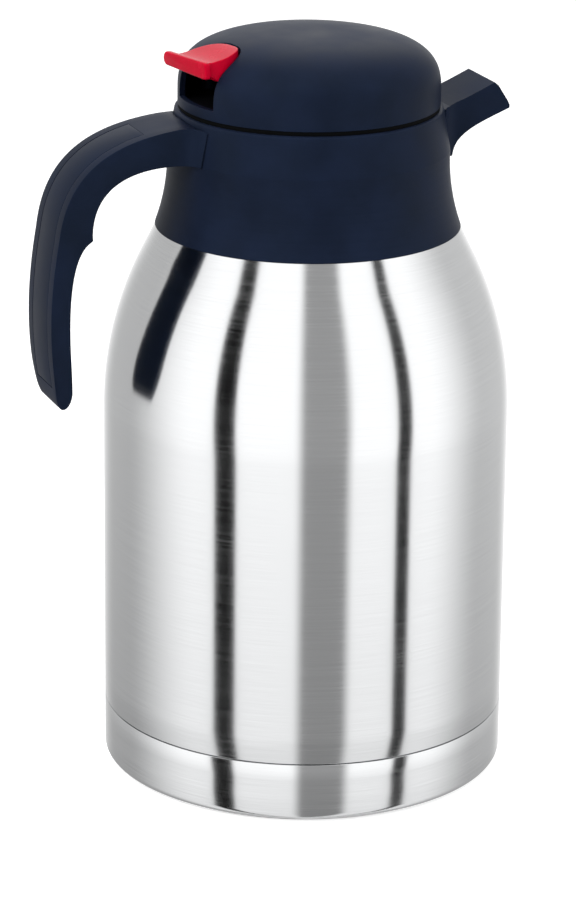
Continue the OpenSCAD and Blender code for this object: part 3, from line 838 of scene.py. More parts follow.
@dataclass
class SteelBody(SubAssembly):
    """Double-walled steel vessel with its base cap and foot pad."""

    body_r: float = 75.2
    wall: float = 0.7
    side_top_z: float = 137.2
    shoulder_deg: float = 26.6
    cone_foot_r: float = 61.33
    cone_h: float = 13.1
    turn_r: float = 8.0
    neck_r: float = 38.0
    neck_fillet_r: float = 5.0
    lip_z: float = 230.392
    bead_r: float = 1.2
    bead_above_ledge: float = 8.6
    seam_z: float = 23.5
    seam_gap: float = 0.4
    seam_depth: float = 0.8
    skirt_z: float = 15.0
    base_z: float = 1.0
    corner_r: float = 3.0
    pad_seat_r: float = 71.2
    pad_t: float = 2.4
    liner_inset: float = 9.0
    liner_wall: float = 0.6
    liner_floor_z: float = 22.5
    liner_corner_r: float = 8.0
    liner_cone_h: float = 11.4
    liner_turn_r: float = 6.0
    liner_neck_r: float = 36.2
    edge_r: float = 0.25
    outer_steps: int = 240

    def shoulder(
        self, line: Outline, inset: float, turn_r: float, cone_h: float, neck: float
    ) -> float:
        """Draws the shoulder, the ledge and the foot of the neck.

        Args:
            line: Outline whose tip is at the top of the straight side.
            inset: How far the shoulder lies inside the outer surface.
            turn_r: Radius that turns the cone into the ledge.
            cone_h: Height of the straight cone.
            neck: Radius of the neck.

        Returns:
            The height of the ledge.
        """
        a = math.radians(self.shoulder_deg)
        big_r = (self.body_r - self.cone_foot_r) / (1 - math.cos(a))
        centre_x = self.body_r - big_r
        r = big_r - inset
        line.arc(centre_x, self.side_top_z, self.shoulder_deg, 40)
        top_x = centre_x + r * math.cos(a) - cone_h * math.tan(a)
        top_z = self.side_top_z + r * math.sin(a) + cone_h
        line.line(top_x, top_z, 4)
        turn_x = top_x - turn_r * math.cos(a)
        turn_z = top_z - turn_r * math.sin(a)
        line.arc(turn_x, turn_z, 90 - self.shoulder_deg, 12)
        ledge_z = turn_z + turn_r
        fillet = min(self.neck_fillet_r, turn_x - neck)
        line.line(neck + fillet, ledge_z)
        line.arc(neck + fillet, ledge_z + fillet, -90, 10)
        return ledge_z

    def shell(self) -> bmesh.types.BMesh:
        """Draws the outer shell: skirt, seam with a rolled edge, side and neck.

        Returns:
            The closed sheet.
        """
        skirt_r = self.body_r - self.seam_depth
        line = Outline().start(skirt_r, self.skirt_z)
        line.line(skirt_r, self.seam_z)
        line.line(self.body_r - self.edge_r, self.seam_z)
        line.arc(self.body_r - self.edge_r, self.seam_z + self.edge_r, 90, 4)
        line.line(self.body_r, self.side_top_z, 12)
        ledge_z = self.shoulder(line, 0.0, self.turn_r, self.cone_h, self.neck_r)
        bead_z = ledge_z + self.bead_above_ledge
        line.line(self.neck_r, bead_z - self.bead_r)
        line.arc(self.neck_r, bead_z, 180, 10)
        line.line(self.neck_r, self.lip_z - self.liner_wall)
        return walled(line.turned(self.outer_steps), self.wall)

    def cap(self) -> bmesh.types.BMesh:
        """Draws the base cap: seat for the pad, rounded edge and straight side.

        Returns:
            The closed sheet.
        """
        corner_x = self.body_r - self.corner_r
        top_z = self.seam_z - self.seam_gap
        line = Outline().start(0.0, self.pad_t)
        line.line(self.pad_seat_r, self.pad_t, 6)
        line.line(self.pad_seat_r, self.base_z)
        line.line(corner_x, self.base_z)
        line.arc(corner_x, self.base_z + self.corner_r, 90, 10)
        line.line(self.body_r, top_z - self.edge_r, 3)
        line.arc(self.body_r - self.edge_r, top_z - self.edge_r, 90, 4)
        return walled(line.turned(self.outer_steps), self.wall)

    def liner(self) -> bmesh.types.BMesh:
        """Draws the inner vessel by its inside and walls it outwards.

        Returns:
            The closed sheet.
        """
        side_r = self.body_r - self.liner_inset - self.liner_wall
        floor_z = self.liner_floor_z + self.liner_wall
        corner = self.liner_corner_r - self.liner_wall
        neck = self.liner_neck_r - self.liner_wall
        line = Outline().start(0.0, floor_z)
        line.line(side_r - corner, floor_z, 6)
        line.arc(side_r - corner, floor_z + corner, 90, 10)
        line.line(side_r, self.side_top_z, 8)
        self.shoulder(
            line,
            self.liner_inset + self.liner_wall,
            self.liner_turn_r - self.liner_wall,
            self.liner_cone_h,
            neck,
        )
        line.line(neck, self.lip_z - self.edge_r)
        line.arc(neck + self.edge_r, self.lip_z - self.edge_r, -90, 4)
        line.line(self.neck_r, self.lip_z)
        return walled(line.turned(), -self.liner_wall)

    def build(self) -> None:
        """Builds the spun steel and dresses the small parts of the base."""
        new_piece(
            "steel_shell", self.shell(), STEEL, Body.JUG, ["outer_shell"]
        )
        new_piece("base_shell", self.cap(), STEEL, Body.JUG, ["base_cap"])
        new_piece(
            "liner_vessel",
            self.liner(),
            LINER_STEEL,
            Body.JUG,
            ["inner_liner", "liner_floor", "liner_shoulder", "liner_neck"],
        )
        self.dress_nodes(
            {"base_pad": RUBBER, "shell_bottom": SHEET_STEEL, "vacuum_plug": SOLDER}
        )


@dataclass(frozen=True)
class Thread:
    """Coarse three-start thread between lid and throat, as ribs on a wall. Its
    ribs' roots lie a little inside the wall."""

    wall_r: float
    depth: float
    base_z: float
    turn_deg: float
    first_deg: float = 0.0
    inwards: bool = False
    sunk: float = 0.3
    lead: float = 15.0
    starts: int = 3
    root_half: float = 1.3
    crest_half: float = 0.7
    run_out: float = 0.125
    steps: int = 40

    def rib(self, index: int) -> bmesh.types.BMesh:
        """Sweeps one rib.

        Args:
            index: Its number, counted round the axis.

        Returns:
            A closed solid that runs out at both ends.
        """
        way = -1 if self.inwards else 1
        root_r, crest_r = self.wall_r - way * self.sunk, self.wall_r + way * self.depth
        spots = (
            (root_r, -self.root_half),
            (crest_r, -self.crest_half),
            (crest_r, self.crest_half),
            (root_r, self.root_half),
        )
        bm = bmesh.new()
        verts = [bm.verts.new((r * MM, 0, (self.base_z + z) * MM)) for r, z in spots]
        face = bm.faces.new(verts)
        bmesh.ops.spin(
            bm,
            geom=[face, *verts, *face.edges],
            cent=(0, 0, 0),
            axis=(0, 0, 1),
            dvec=(0, 0, self.lead * self.turn_deg / 360 / self.steps * MM),
            angle=math.radians(self.turn_deg),
            steps=self.steps,
            use_merge=False,
            use_duplicate=False,
        )
        for vert in bm.verts:
            share = math.degrees(math.atan2(vert.co.y, vert.co.x)) / self.turn_deg
            rise = min(1.0, share / self.run_out, (1 - share) / self.run_out)
            radius = vert.co.xy.length / MM
            vert.co.xy *= (root_r + (radius - root_r) * max(rise, 0.0)) / radius
        turn = math.radians(self.first_deg + 360 * index / self.starts)
        bmesh.ops.rotate(
            bm, verts=bm.verts[:], cent=(0, 0, 0), matrix=Matrix.Rotation(turn, 3, "Z")
        )
        bmesh.ops.recalc_face_normals(bm, faces=bm.faces[:])
        return bm

    def ribs(self) -> bmesh.types.BMesh:
        """All the ribs in one mesh."""
        return joined(self.rib(i) for i in range(self.starts))


@dataclass(frozen=True)
class Screw:
    """Pan-head screw with a cross recess, drawn with its head's top at the origin
    and its shank along -Z."""

    length: float = 16.8
    shank_r: float = 1.4
    point: float = 1.2
    radius: float = 2.8
    edge_r: float = 0.7
    head_t: float = 1.8
    crown: float = 0.12
    middle_r: float = 0.35
    middle_drop: float = 0.02
    recess_depth: float = 1.0
    recess_r: float = 1.6
    sectors: int = 24

    def at(self, place: Matrix) -> bmesh.types.BMesh:
        """Draws the screw.

        Args:
            place: Where the head's top goes, with the shank along its -Z.

        Returns:
            The screw's mesh.
        """
        flat_r = self.radius - self.edge_r
        line = Outline().start(0.0, 0.0).line(self.middle_r, 0.0)
        line.line(self.recess_r, -self.middle_drop).line(flat_r, -self.crown)
        line.arc(flat_r, -self.crown - self.edge_r, -90, 5)
        line.line(self.radius, -self.head_t).line(self.shank_r, -self.head_t)
        line.line(self.shank_r, self.point - self.length).line(0.0, -self.length)
        bm = line.turned(self.sectors)
        arms = []
        for face in bm.faces:
            mid = face.calc_center_median() / MM
            turn = math.degrees(math.atan2(mid.y, mid.x)) % 90
            inner = mid.xy.length < self.middle_r
            arm = mid.xy.length < self.recess_r and turn < 360 / self.sectors
            if face.normal.z > 0.9 and (inner or arm):
                arms.append(face)
        pulled(bm, arms, (0, 0, -self.recess_depth * MM))
        bmesh.ops.delete(bm, geom=arms, context="FACES")
        bmesh.ops.recalc_face_normals(bm, faces=bm.faces[:])
        bmesh.ops.transform(bm, matrix=place, verts=bm.verts[:])
        return bm


@dataclass
class CollarAndHandle(SubAssembly):
    """Moulded collar with its spout, the throat ring and the side handle.

    The handle's side view is given by control points of cubic curves, as shares of
    its reach away from the collar's waist and of its drop below the rim.
    """

    throat_in_r: float = 33.9
    thread_depth: float = 1.15
    thread_turn_deg: float = 78.0
    thread_first_deg: float = 60.0
    thread_above: float = 3.0
    waist_r: float = 51.6
    waist_top_z: float = 235.992
    rim_r: float = 49.1
    rim_low_z: float = 249.8
    rim_z: float = 250.992
    reach: float = 51.5
    drop: float = 102.9
    half_w: float = 13.7
    edge_r: float = 1.3
    tip_draw: float = 3.6
    tip_h: float = 19.0
    strip_half_w: float = 8.5
    strip_t: float = 1.6
    strip_gap: float = 0.22
    strip_edge_r: float = 0.25
    strip_first: int = 9
    strip_low_z: float = 156.2
    strip_root_gap: float = 0.1
    strip_tip_gap: float = 0.2
    strip_lanes: tuple[float, ...] = (-4.5, 0.0, 4.5)
    grip_x: float = -70.0
    grip_z: float = 200.0
    root_x: float = -45.6
    root_below_rim: float = 1.2
    root_r: float = 8.4
    root_step: float = 0.35
    root_droop: float = 0.3
    droop_from_z: float = 240.0
    droop_over: float = 8.0
    flare_from_x: float = -56.0
    flare_step: float = 0.7
    flare_steps: int = 14
    screw_shank_r: float = 1.5
    on_root: tuple[float, float] = (-0.072, -0.012)
    on_back: tuple = (
        (44, ((0.583, -0.031), (0.88, -0.146), (0.94, -0.386))),
        (36, ((0.99, -0.524), (1.037, -0.718), (0.963, -0.935))),
    )
    on_tip: tuple = (
        (10, ((0.953, -0.966), (0.934, -1), (0.897, -1))),
        (10, ((0.864, -1), (0.84, -0.974), (0.84, -0.938))),
        (40, ((0.9, -0.583), (0.828, -0.43), (0.709, -0.394))),
    )
    on_notch: tuple = ((2, (0.691, -0.387)), (1, (0.693, -0.367)))
    on_under: tuple = (
        (40, ((0.684, -0.234), (0.513, -0.129), (-0.031, -0.149))),
    )

    def at(self, x: float, z: float) -> tuple[float, float]:
        """Point of the handle's side view, from its shares of reach and drop."""
        return (-self.waist_r - x * self.reach, self.rim_z + z * self.drop)

    def draw(self, line: Outline, curves: tuple) -> None:
        """Draws curves of the handle's side view.

        Args:
            line: The outline that they go on from.
            curves: The number of segments and the three points of each.
        """
        for steps, shares in curves:
            line.curve([self.at(*share) for share in shares], steps)

    @property
    def strip_from_x(self) -> float:
        """Where the inlay starts: one of the points along the handle's back.

        Returns:
            Its place along X.
        """
        steps, shares = self.on_back[0]
        xs = tuple(self.at(*share)[0] for share in (self.on_root, *shares))
        return cubic(xs, self.strip_first / steps)

    def collar_r(self, z: float) -> float:
        """Radius of the collar's side.

        Args:
            z: Height on the side.

        Returns:
            The radius there.
        """
        share = (z - self.waist_top_z) / (self.rim_low_z - self.waist_top_z)
        share = min(max(share, 0.0), 1.0)
        return self.waist_r + (self.rim_r - self.waist_r) * share

    def drawn_in(self, y: float, z: float) -> float:
        """Draws the handle's sides in at its tip, but not the inlay's channel.

        Args:
            y: A point's place across the handle.
            z: Its height.

        Returns:
            Its new place across the handle.
        """
        low = max(0.0, 1 - (z - self.rim_z + self.drop) / self.tip_h)
        edge = self.strip_half_w + self.strip_gap
        if abs(y) <= edge or low == 0.0:
            return y
        share = 1 - self.tip_draw * low * low / (self.half_w - edge)
        return math.copysign(edge + (abs(y) - edge) * share, y)

    def flared(self, co: Vector) -> Vector:
        """Place of a point of the root once its sides sweep out into the collar.

        Args:
            co: The point before, in millimetres.

        Returns:
            The point on the flare, or on the collar's side where it lay inside.
        """
        r = self.collar_r(co.z) + self.root_step
        far, high = r + self.root_r, self.half_w + self.root_r
        start = -math.sqrt(far * far - high * high)
        if co.x <= start:
            return co
        share = abs(co.y) / self.half_w
        end = -math.sqrt(r * r - co.y * co.y)
        t = min((co.x - start) / (end - start), 1.0)
        last = math.pi / 2 - math.asin(high / far)
        rise = self.root_r * (1 - math.cos(t * last))
        y_end = share * high * r / far
        x_end = -math.sqrt(r * r - y_end * y_end)
        x = start + (x_end - start) * math.sin(t * last) / math.sin(last)
        top = min(max((co.z - self.droop_from_z) / self.droop_over, 0.0), 1.0)
        z = co.z - self.root_droop * rise * share * top
        return Vector((x, math.copysign(share * (self.half_w + rise), co.y), z))

    def near_back(
        self, x: float, z: float, reach: float = 1.2, samples: int = 100
    ) -> bool:
        """Tells whether a point of the side view lies on the handle's back.

        Args:
            x: The point's place along X.
            z: Its height.
            reach: How far from the back's curve it may lie.
            samples: How many points of each curve are tried, less one.

        Returns:
            Whether it does.
        """
        begin = self.on_root
        for _, shares in self.on_back:
            xs, zs = zip(*(self.at(*share) for share in (begin, *shares)))
            begin = shares[-1]
            for i in range(samples + 1):
                t = i / samples
                if math.hypot(cubic(xs, t) - x, cubic(zs, t) - z) < reach:
                    return True
        return False

    def takes_inlay(self, face: bmesh.types.BMFace) -> bool:
        """Tells whether a face of the handle belongs to the inlay's channel.

        Args:
            face: The face.

        Returns:
            Whether it does.
        """
        mid = face.calc_center_median() / MM
        if abs(mid.y) > self.strip_half_w + self.strip_gap:
            return False
        if mid.z < self.strip_low_z or mid.x > self.strip_from_x:
            return False
        away = Vector((mid.x - self.grip_x, 0, mid.z - self.grip_z))
        return away.dot(face.normal) > 0 and self.near_back(mid.x, mid.z)

    def handle(self) -> bmesh.types.BMesh:
        """Draws the handle: its side view pulled across, with a channel for the
        inlay down its back, rounded edges and sides that sweep into the collar.

        Returns:
            The closed mesh.
        """
        line = Outline().start(self.root_x, self.rim_z - self.root_below_rim)
        line.line(*self.at(*self.on_root))
        self.draw(line, self.on_back + self.on_tip)
        for steps, share in self.on_notch:
            line.line(*self.at(*share), steps)
        self.draw(line, self.on_under)
        line.line(self.root_x, line.tip.co.z / MM)
        bm = line.filled()
        bmesh.ops.translate(bm, verts=bm.verts[:], vec=(0, -self.half_w * MM, 0))
        pulled(bm, bm.faces[:], (0, 2 * self.half_w * MM, 0))
        bmesh.ops.recalc_face_normals(bm, faces=bm.faces[:])
        limit = (self.half_w - 0.01) * MM
        rims = [e for e in bm.edges if all(abs(v.co.y) > limit for v in e.verts)]
        rounded(bm, rims, self.edge_r * MM, 5, clamp=True)
        edge = self.strip_half_w + self.strip_gap
        slice_across(bm, (-edge, *self.strip_lanes, edge), (0, 1, 0))
        bm.normal_update()
        bmesh.ops.inset_region(
            bm,
            faces=[face for face in bm.faces if self.takes_inlay(face)],
            thickness=0.001 * MM,
            depth=-(self.strip_t + self.strip_gap) * MM,
            use_even_offset=True,
            use_boundary=True,
        )
        planes = (
            self.flare_from_x + self.flare_step * i for i in range(self.flare_steps)
        )
        slice_across(bm, planes, (1, 0, 0))
        for vert in bm.verts:
            co = self.flared(vert.co / MM)
            co.y = self.drawn_in(co.y, co.z)
            vert.co = co * MM
        bmesh.ops.remove_doubles(bm, verts=bm.verts[:], dist=2e-6)
        bmesh.ops.dissolve_degenerate(bm, edges=bm.edges[:], dist=1e-6)
        return bm

    def inlay(self) -> bmesh.types.BMesh:
        """Draws the inlay of the handle's back: a ribbon with a thickness.

        Returns:
            The closed mesh, a little shorter than its channel.
        """
        line = Outline().start(*self.at(*self.on_root))
        self.draw(line, self.on_back)
        bm = line.bm
        first_x = self.strip_from_x + self.strip_root_gap
        last_z = self.strip_low_z + self.strip_tip_gap
        out = [v for v in bm.verts if v.co.x > first_x * MM or v.co.z < last_z * MM]
        bmesh.ops.delete(bm, geom=out, context="VERTS")
        half = self.strip_half_w * MM
        bmesh.ops.translate(bm, verts=bm.verts[:], vec=(0, -half, 0))
        made = bmesh.ops.extrude_edge_only(bm, edges=bm.edges[:])
        moved = [g for g in made["geom"] if isinstance(g, bmesh.types.BMVert)]
        bmesh.ops.translate(bm, verts=moved, vec=(0, 2 * half, 0))
        bm.normal_update()
        if sum(f.normal.x for f in bm.faces) > 0:
            bmesh.ops.reverse_faces(bm, faces=bm.faces[:])
        walled(bm, self.strip_t)
        bmesh.ops.recalc_face_normals(bm, faces=bm.faces[:])
        return rounded(bm, ridges(bm, 60), self.strip_edge_r * MM, 3)

    def screws(self) -> bmesh.types.BMesh:
        """Draws the two screws from inside the collar into the handle's root.

        Returns:
            Both screws in one mesh.
        """
        low, high = (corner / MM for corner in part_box("handle_screws"))
        screw = Screw(length=high.x - low.x, shank_r=self.screw_shank_r)
        level = Matrix.Rotation(math.pi / 2, 4, "Y")
        made = []
        for side in (-1, 1):
            spot = (high.x, side * (high.y - screw.radius), (low.z + high.z) / 2)
            made.append(screw.at(Matrix.Translation(Vector(spot) * MM) @ level))
        return joined(made)

    def build(self) -> None:
        """Builds handle, inlay, thread and screws, and dresses the rest."""
        new_piece(
            "handle_moulding",
            self.handle(),
            BLACK,
            Body.JUG,
            ["handle"],
            sharp_deg=44.0,
        )
        new_piece(
            "handle_inlay",
            self.inlay(),
            STRIP,
            Body.JUG,
            ["handle_strip"],
            sharp_deg=44.0,
        )
        thread = Thread(
            self.throat_in_r,
            self.thread_depth,
            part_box("throat_ring")[0].z / MM + self.thread_above,
            self.thread_turn_deg,
            self.thread_first_deg,
            inwards=True,
        )
        new_piece(
            "throat_thread", thread.ribs(), GREY, Body.JUG, sharp_deg=40.0
        )
        new_piece(
            "handle_screw_pair",
            self.screws(),
            SCREW_STEEL,
            Body.JUG,
            ["handle_screws"],
        )
        self.dress_nodes(
            {
                "collar": BLACK,
                "throat_ring": GREY,
                "neck_gasket": SILICONE,
                "neck_lock_ring": SPRING_STEEL,
            }
        )


@dataclass
class Lid(SubAssembly):
    """Screw-in lid: dome, plate, stopper with its thread, and the lid's screws.

    The dome's side view is part of a superellipse above a straight foot.
    """

    angle_deg: float = LID_ANGLE_DEG
    thread_turn_deg: float = 96.0
    thread_depth: float = 1.2
    thread_above: float = 8.0
    stopper_r: float = 31.9
    stopper_bottom_z: float = 208.992
    screw_r: float = 38.0
    screw_count: int = 4
    screw_first_deg: float = 45.0
    dome_r: float = 47.85
    dome_z: float = 252.592
    dome_steps: int = 40
    side_h: float = 3.8
    rise: float = 21.7
    power: float = 3.1
    wall: float = 2.2
    slot_z: float = 256.292
    slot_half_w: float = 13.4
    slot_inner_x: float = -30.5
    slot_corner_r: float = 11.6
    slot_past: float = 12.0
    slot_over: float = 5.0
    boss_r: float = 3.6
    boss_z: float = 254.792

    def dome_height(self, r: float, inset: float = 0.0) -> float:
        """Height of the dome's surface.

        Args:
            r: Distance from the axis.
            inset: How far inside the outer surface.

        Returns:
            The height there.
        """
        share = min(r / (self.dome_r - inset), 1.0)
        rise = (self.rise - inset) * (1 - share**self.power) ** (1 / self.power)
        return self.dome_z + self.side_h + rise

    def slot(self) -> bmesh.types.BMesh:
        """Draws the solid that cuts the lever's slot, round at its inner end.

        Returns:
            The closed mesh, along -X.
        """
        r = self.slot_corner_r
        x, y = self.slot_inner_x - r, self.slot_half_w - r
        bm = bmesh.new()
        bmesh.ops.create_circle(bm, cap_ends=True, segments=96, radius=r * MM)
        for vert in bm.verts:
            if vert.co.x < -1e-6:
                vert.co.x = -(self.dome_r + self.slot_past + x) * MM
                vert.co.y = math.copysign(r * MM, vert.co.y)
            vert.co.x += x * MM
            vert.co.y += math.copysign(y * MM, vert.co.y)
            vert.co.z = self.slot_z * MM
        bmesh.ops.remove_doubles(bm, verts=bm.verts[:], dist=1e-6)
        pulled(bm, bm.faces[:], (0, 0, (self.rise + self.slot_over) * MM))
        bmesh.ops.recalc_face_normals(bm, faces=bm.faces[:])
        return bm

    def boss(self, index: int) -> bmesh.types.BMesh:
        """Draws a post for a lid screw, from the lid plate into the dome's wall.

        Args:
            index: Its number, counted round the axis.

        Returns:
            The closed mesh.
        """
        bm = bmesh.new()
        r = self.boss_r * MM
        bmesh.ops.create_cone(
            bm, cap_ends=True, segments=40, radius1=r, radius2=r, depth=2 * MM
        )
        turn = math.radians(self.screw_first_deg + 360 * index / self.screw_count)
        spot = Vector((math.cos(turn), math.sin(turn), 0)) * self.screw_r * MM
        bmesh.ops.translate(bm, verts=bm.verts[:], vec=spot)
        for vert in bm.verts:
            if vert.co.z < 0:
                vert.co.z = self.boss_z * MM
            else:
                middle = self.dome_height(vert.co.xy.length / MM, self.wall / 2)
                vert.co.z = middle * MM
        return bm

    def dome(self) -> bmesh.types.BMesh:
        """Draws the dome: a spun shell with the lever's slot and screw posts.

        Returns:
            The closed meshes of shell and posts.
        """
        line = Outline().start(0.0, self.dome_z + self.side_h + self.rise)
        for i in range(1, self.dome_steps + 1):
            turn = math.pi / 2 * i / self.dome_steps
            r = self.dome_r * math.sin(turn) ** (2 / self.power)
            line.line(r, self.dome_height(r))
        line.line(self.dome_r, self.dome_z, 3)
        shell = cut(walled(line.turned(), self.wall), self.slot())
        whole = joined([shell, *(self.boss(i) for i in range(self.screw_count))])
        turned = Matrix.Rotation(math.radians(self.angle_deg), 3, "Z")
        bmesh.ops.rotate(whole, cent=(0, 0, 0), matrix=turned, verts=whole.verts[:])
        return whole

    def screws(self) -> bmesh.types.BMesh:
        """Draws the screws that hold stopper, plate and dome together.

        Returns:
            All of them in one mesh.
        """
        low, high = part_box("lid_screws")
        screw = Screw(length=(high.z - low.z) / MM)
        over = Matrix.Rotation(math.pi, 4, "X")
        made = []
        for i in range(self.screw_count):
            first = self.angle_deg + self.screw_first_deg
            turn = math.radians(first + 360 * i / self.screw_count)
            r = self.screw_r * MM
            spot = Vector((r * math.cos(turn), r * math.sin(turn), low.z))
            made.append(screw.at(Matrix.Translation(spot) @ over))
        return joined(made)

    def build(self) -> None:
        """Builds dome, thread and screws, and dresses the other mouldings."""
        new_piece(
            "dome_moulding",
            self.dome(),
            BLACK,
            Body.LID,
            ["lid_dome"],
            sharp_deg=30.0,
        )
        thread = Thread(
            self.stopper_r,
            self.thread_depth,
            self.stopper_bottom_z + self.thread_above,
            self.thread_turn_deg,
        )
        new_piece(
            "stopper_thread", thread.ribs(), GREY, Body.LID, sharp_deg=40.0
        )
        new_piece(
            "lid_screw_set",
            self.screws(),
            SCREW_STEEL,
            Body.LID,
            ["lid_screws"],
        )
        self.dress_nodes(
            {
                # the lid plate's near black is painted shade for the lever's slot
                "lid_plate": SHADE,
                "stopper_body": GREY,
                "stopper_cage": GREY,
                "valve_seat": GREY,
                "stopper_gasket": SILICONE,
                "lever_pin": SCREW_STEEL,
                "lid_gasket": RUBBER,
            }
        )


@dataclass
class ThumbLever(SubAssembly):
    """Red thumb lever: a rounded pad with a lip across its outer end, and the arm
    with its fork from the CAD model. It is drawn along -X in millimetres, with
    heights above the hinge pin, and then turned."""

    angle_deg: float = LID_ANGLE_DEG
    pin_z: float = 266.992
    top_h: float = 9.2
    lean_deg: float = 3.4
    half_w: float = 12.6
    outer_x: float = -49.6
    inner_x: float = -31.6
    corner_r: float = 10.5
    edge_r: float = 0.7
    crest_run: float = 5.0
    crest_drop: float = 0.4
    dip_run: float = 4.6
    dip_drop: float = 4.4
    end_drop: float = 2.9
    side_h: float = 7.7
    side_from: float = 2.5
    side_run: float = 3.5
    side_step: float = 1.8
    side_slope: float = 2.6
    lip_half_w: float = 16.8
    lip_shift: float = 2.2
    lip_deeper: float = 1.1
    lip_square: float = 0.6
    lip_h: float = 5.0
    lip_t: float = 2.5
    lip_drop: float = 2.8
    lip_out: float = 0.3
    lean_below_top: float = 2.0
    arm_x: float = -30.97
    arm_reach: float = 3.2
    ridge_deg: float = 50.0

    def top(self, x: float) -> float:
        """Height of the pad's top, which dips before the lip.

        Args:
            x: Place along the lever.

        Returns:
            The height above the hinge pin.
        """
        h, inner, outer = self.top_h, self.inner_x, self.outer_x
        ends = (inner, inner - self.crest_run, outer + self.dip_run, outer)
        drops = (h, h - self.crest_drop, h - self.dip_drop, h - self.end_drop)
        low, high = 0.0, 1.0
        for _ in range(30):
            t = (low + high) / 2
            if cubic(ends, t) > x:
                low = t
            else:
                high = t
        return cubic(drops, t)

    def under(self, x: float) -> float:
        """Height of the pad's underside.

        Args:
            x: Place along the lever.

        Returns:
            The height above the hinge pin.
        """
        along = x - self.outer_x
        step = min(max((along - self.side_from) / self.side_run, 0.0), 1.0)
        slope = along / (self.inner_x - self.outer_x)
        fall = self.side_step * step * step + self.side_slope * max(slope, 0.0)
        return self.top_h - self.side_h - fall

    def pad(self) -> bmesh.types.BMesh:
        """Draws the thumb pad: a grid rounded at its inner end, curved and deep.

        Returns:
            The closed mesh.
        """
        bm = bmesh.new()
        length = self.inner_x - self.outer_x
        middle = self.outer_x + length / 2
        bmesh.ops.create_grid(bm, x_segments=34, y_segments=30, size=0.5)
        bmesh.ops.scale(bm, vec=(length, 2 * self.half_w, 1), verts=bm.verts[:])
        bmesh.ops.translate(bm, vec=(middle, 0, 0), verts=bm.verts[:])
        r = self.corner_r
        x, y = self.inner_x - r, self.half_w - r
        for vert in bm.verts:
            dx, dy = vert.co.x - x, abs(vert.co.y) - y
            if dx > 0 and dy > 0:
                share = max(dx, dy) / math.hypot(dx, dy)
                vert.co.x = x + dx * share
                vert.co.y = math.copysign(y + dy * share, vert.co.y)
        below = set(pulled(bm, bm.faces[:], (0, 0, 0)))
        for vert in bm.verts:
            x = vert.co.x
            height = self.under(x) if vert in below else self.top(x)
            vert.co.z = self.pin_z + height
        bmesh.ops.recalc_face_normals(bm, faces=bm.faces[:])
        rims = [
            e
            for e in ridges(bm, self.ridge_deg)
            if (e.verts[0] in below) == (e.verts[1] in below)
        ]
        return rounded(bm, rims, self.edge_r, clamp=True)

    def lip(self) -> bmesh.types.BMesh:
        """Draws the lip: a long bar across the pad's outer end, round at its far
        end, squarer and deeper at its near one.

        Returns:
            The closed mesh.
        """
        bm = bmesh.new()
        r = self.lip_h / 2
        upright = Matrix.Rotation(math.pi / 2, 4, "Y")
        bmesh.ops.create_circle(
            bm, cap_ends=True, segments=40, radius=r, matrix=upright
        )
        for vert in bm.verts:
            near = vert.co.y < 0
            if near:
                longer = max(abs(vert.co.y), abs(vert.co.z)) / r
                vert.co.yz *= 1 + self.lip_square * (1 / longer - 1)
            vert.co.y += math.copysign(self.lip_half_w - r, vert.co.y)
            if vert.co.z < 0:
                vert.co.z -= self.lip_deeper * near
            vert.co.y += self.lip_shift
        pulled(bm, bm.faces[:], (self.lip_t, 0, 0))
        bmesh.ops.recalc_face_normals(bm, faces=bm.faces[:])
        rounded(bm, ridges(bm, self.ridge_deg), self.edge_r)
        height = self.pin_z + self.top_h - self.lip_drop - r
        place = (self.outer_x - self.lip_out, 0, height)
        bmesh.ops.translate(bm, verts=bm.verts[:], vec=place)
        return bm

    def arm(self) -> bmesh.types.BMesh:
        """Copies arm, hub and fork of the CAD lever and lengthens the arm.

        Returns:
            The closed mesh.
        """
        bm = bmesh.new()
        bm.from_mesh(self.nodes["thumb_lever"].data)
        bmesh.ops.remove_doubles(bm, verts=bm.verts[:], dist=2e-6)
        bmesh.ops.scale(bm, vec=(1 / MM,) * 3, verts=bm.verts[:])
        back = Matrix.Rotation(-math.radians(self.angle_deg), 3, "Z")
        bmesh.ops.rotate(bm, cent=(0, 0, 0), matrix=back, verts=bm.verts[:])
        bmesh.ops.bisect_plane(
            bm,
            geom=bm.verts[:] + bm.edges[:] + bm.faces[:],
            dist=1e-4,
            plane_co=(self.arm_x, 0, 0),
            plane_no=(-1, 0, 0),
            clear_outer=True,
        )
        rim = [e for e in bm.edges if e.is_boundary]
        made = bmesh.ops.extrude_edge_only(bm, edges=rim)
        verts = [g for g in made["geom"] if isinstance(g, bmesh.types.BMVert)]
        bmesh.ops.translate(bm, verts=verts, vec=(-self.arm_reach, 0, 0))
        ends = [g for g in made["geom"] if isinstance(g, bmesh.types.BMEdge)]
        bmesh.ops.contextual_create(bm, geom=[e for e in ends if e.is_boundary])
        bmesh.ops.recalc_face_normals(bm, faces=bm.faces[:])
        return bm

    def build(self) -> None:
        """Joins pad, lip and arm in one moulding and dresses it."""
        middle = self.pin_z + self.top_h - self.lean_below_top
        lean = (
            Matrix.Translation((0, 0, middle))
            @ Matrix.Rotation(-math.radians(self.lean_deg), 4, "X")
            @ Matrix.Translation((0, 0, -middle))
        )
        leaned = joined((self.pad(), self.lip()))
        bmesh.ops.transform(leaned, matrix=lean, verts=leaned.verts[:])
        whole = joined((leaned, self.arm()))
        turn = Matrix.Rotation(math.radians(self.angle_deg), 4, "Z")
        place = turn @ Matrix.Scale(MM, 4)
        bmesh.ops.transform(whole, matrix=place, verts=whole.verts[:])
        new_piece(
            "lever_moulding",
            whole,
            RED,
            Body.LEVER,
            ["thumb_lever"],
            sharp_deg=40.0,
        )


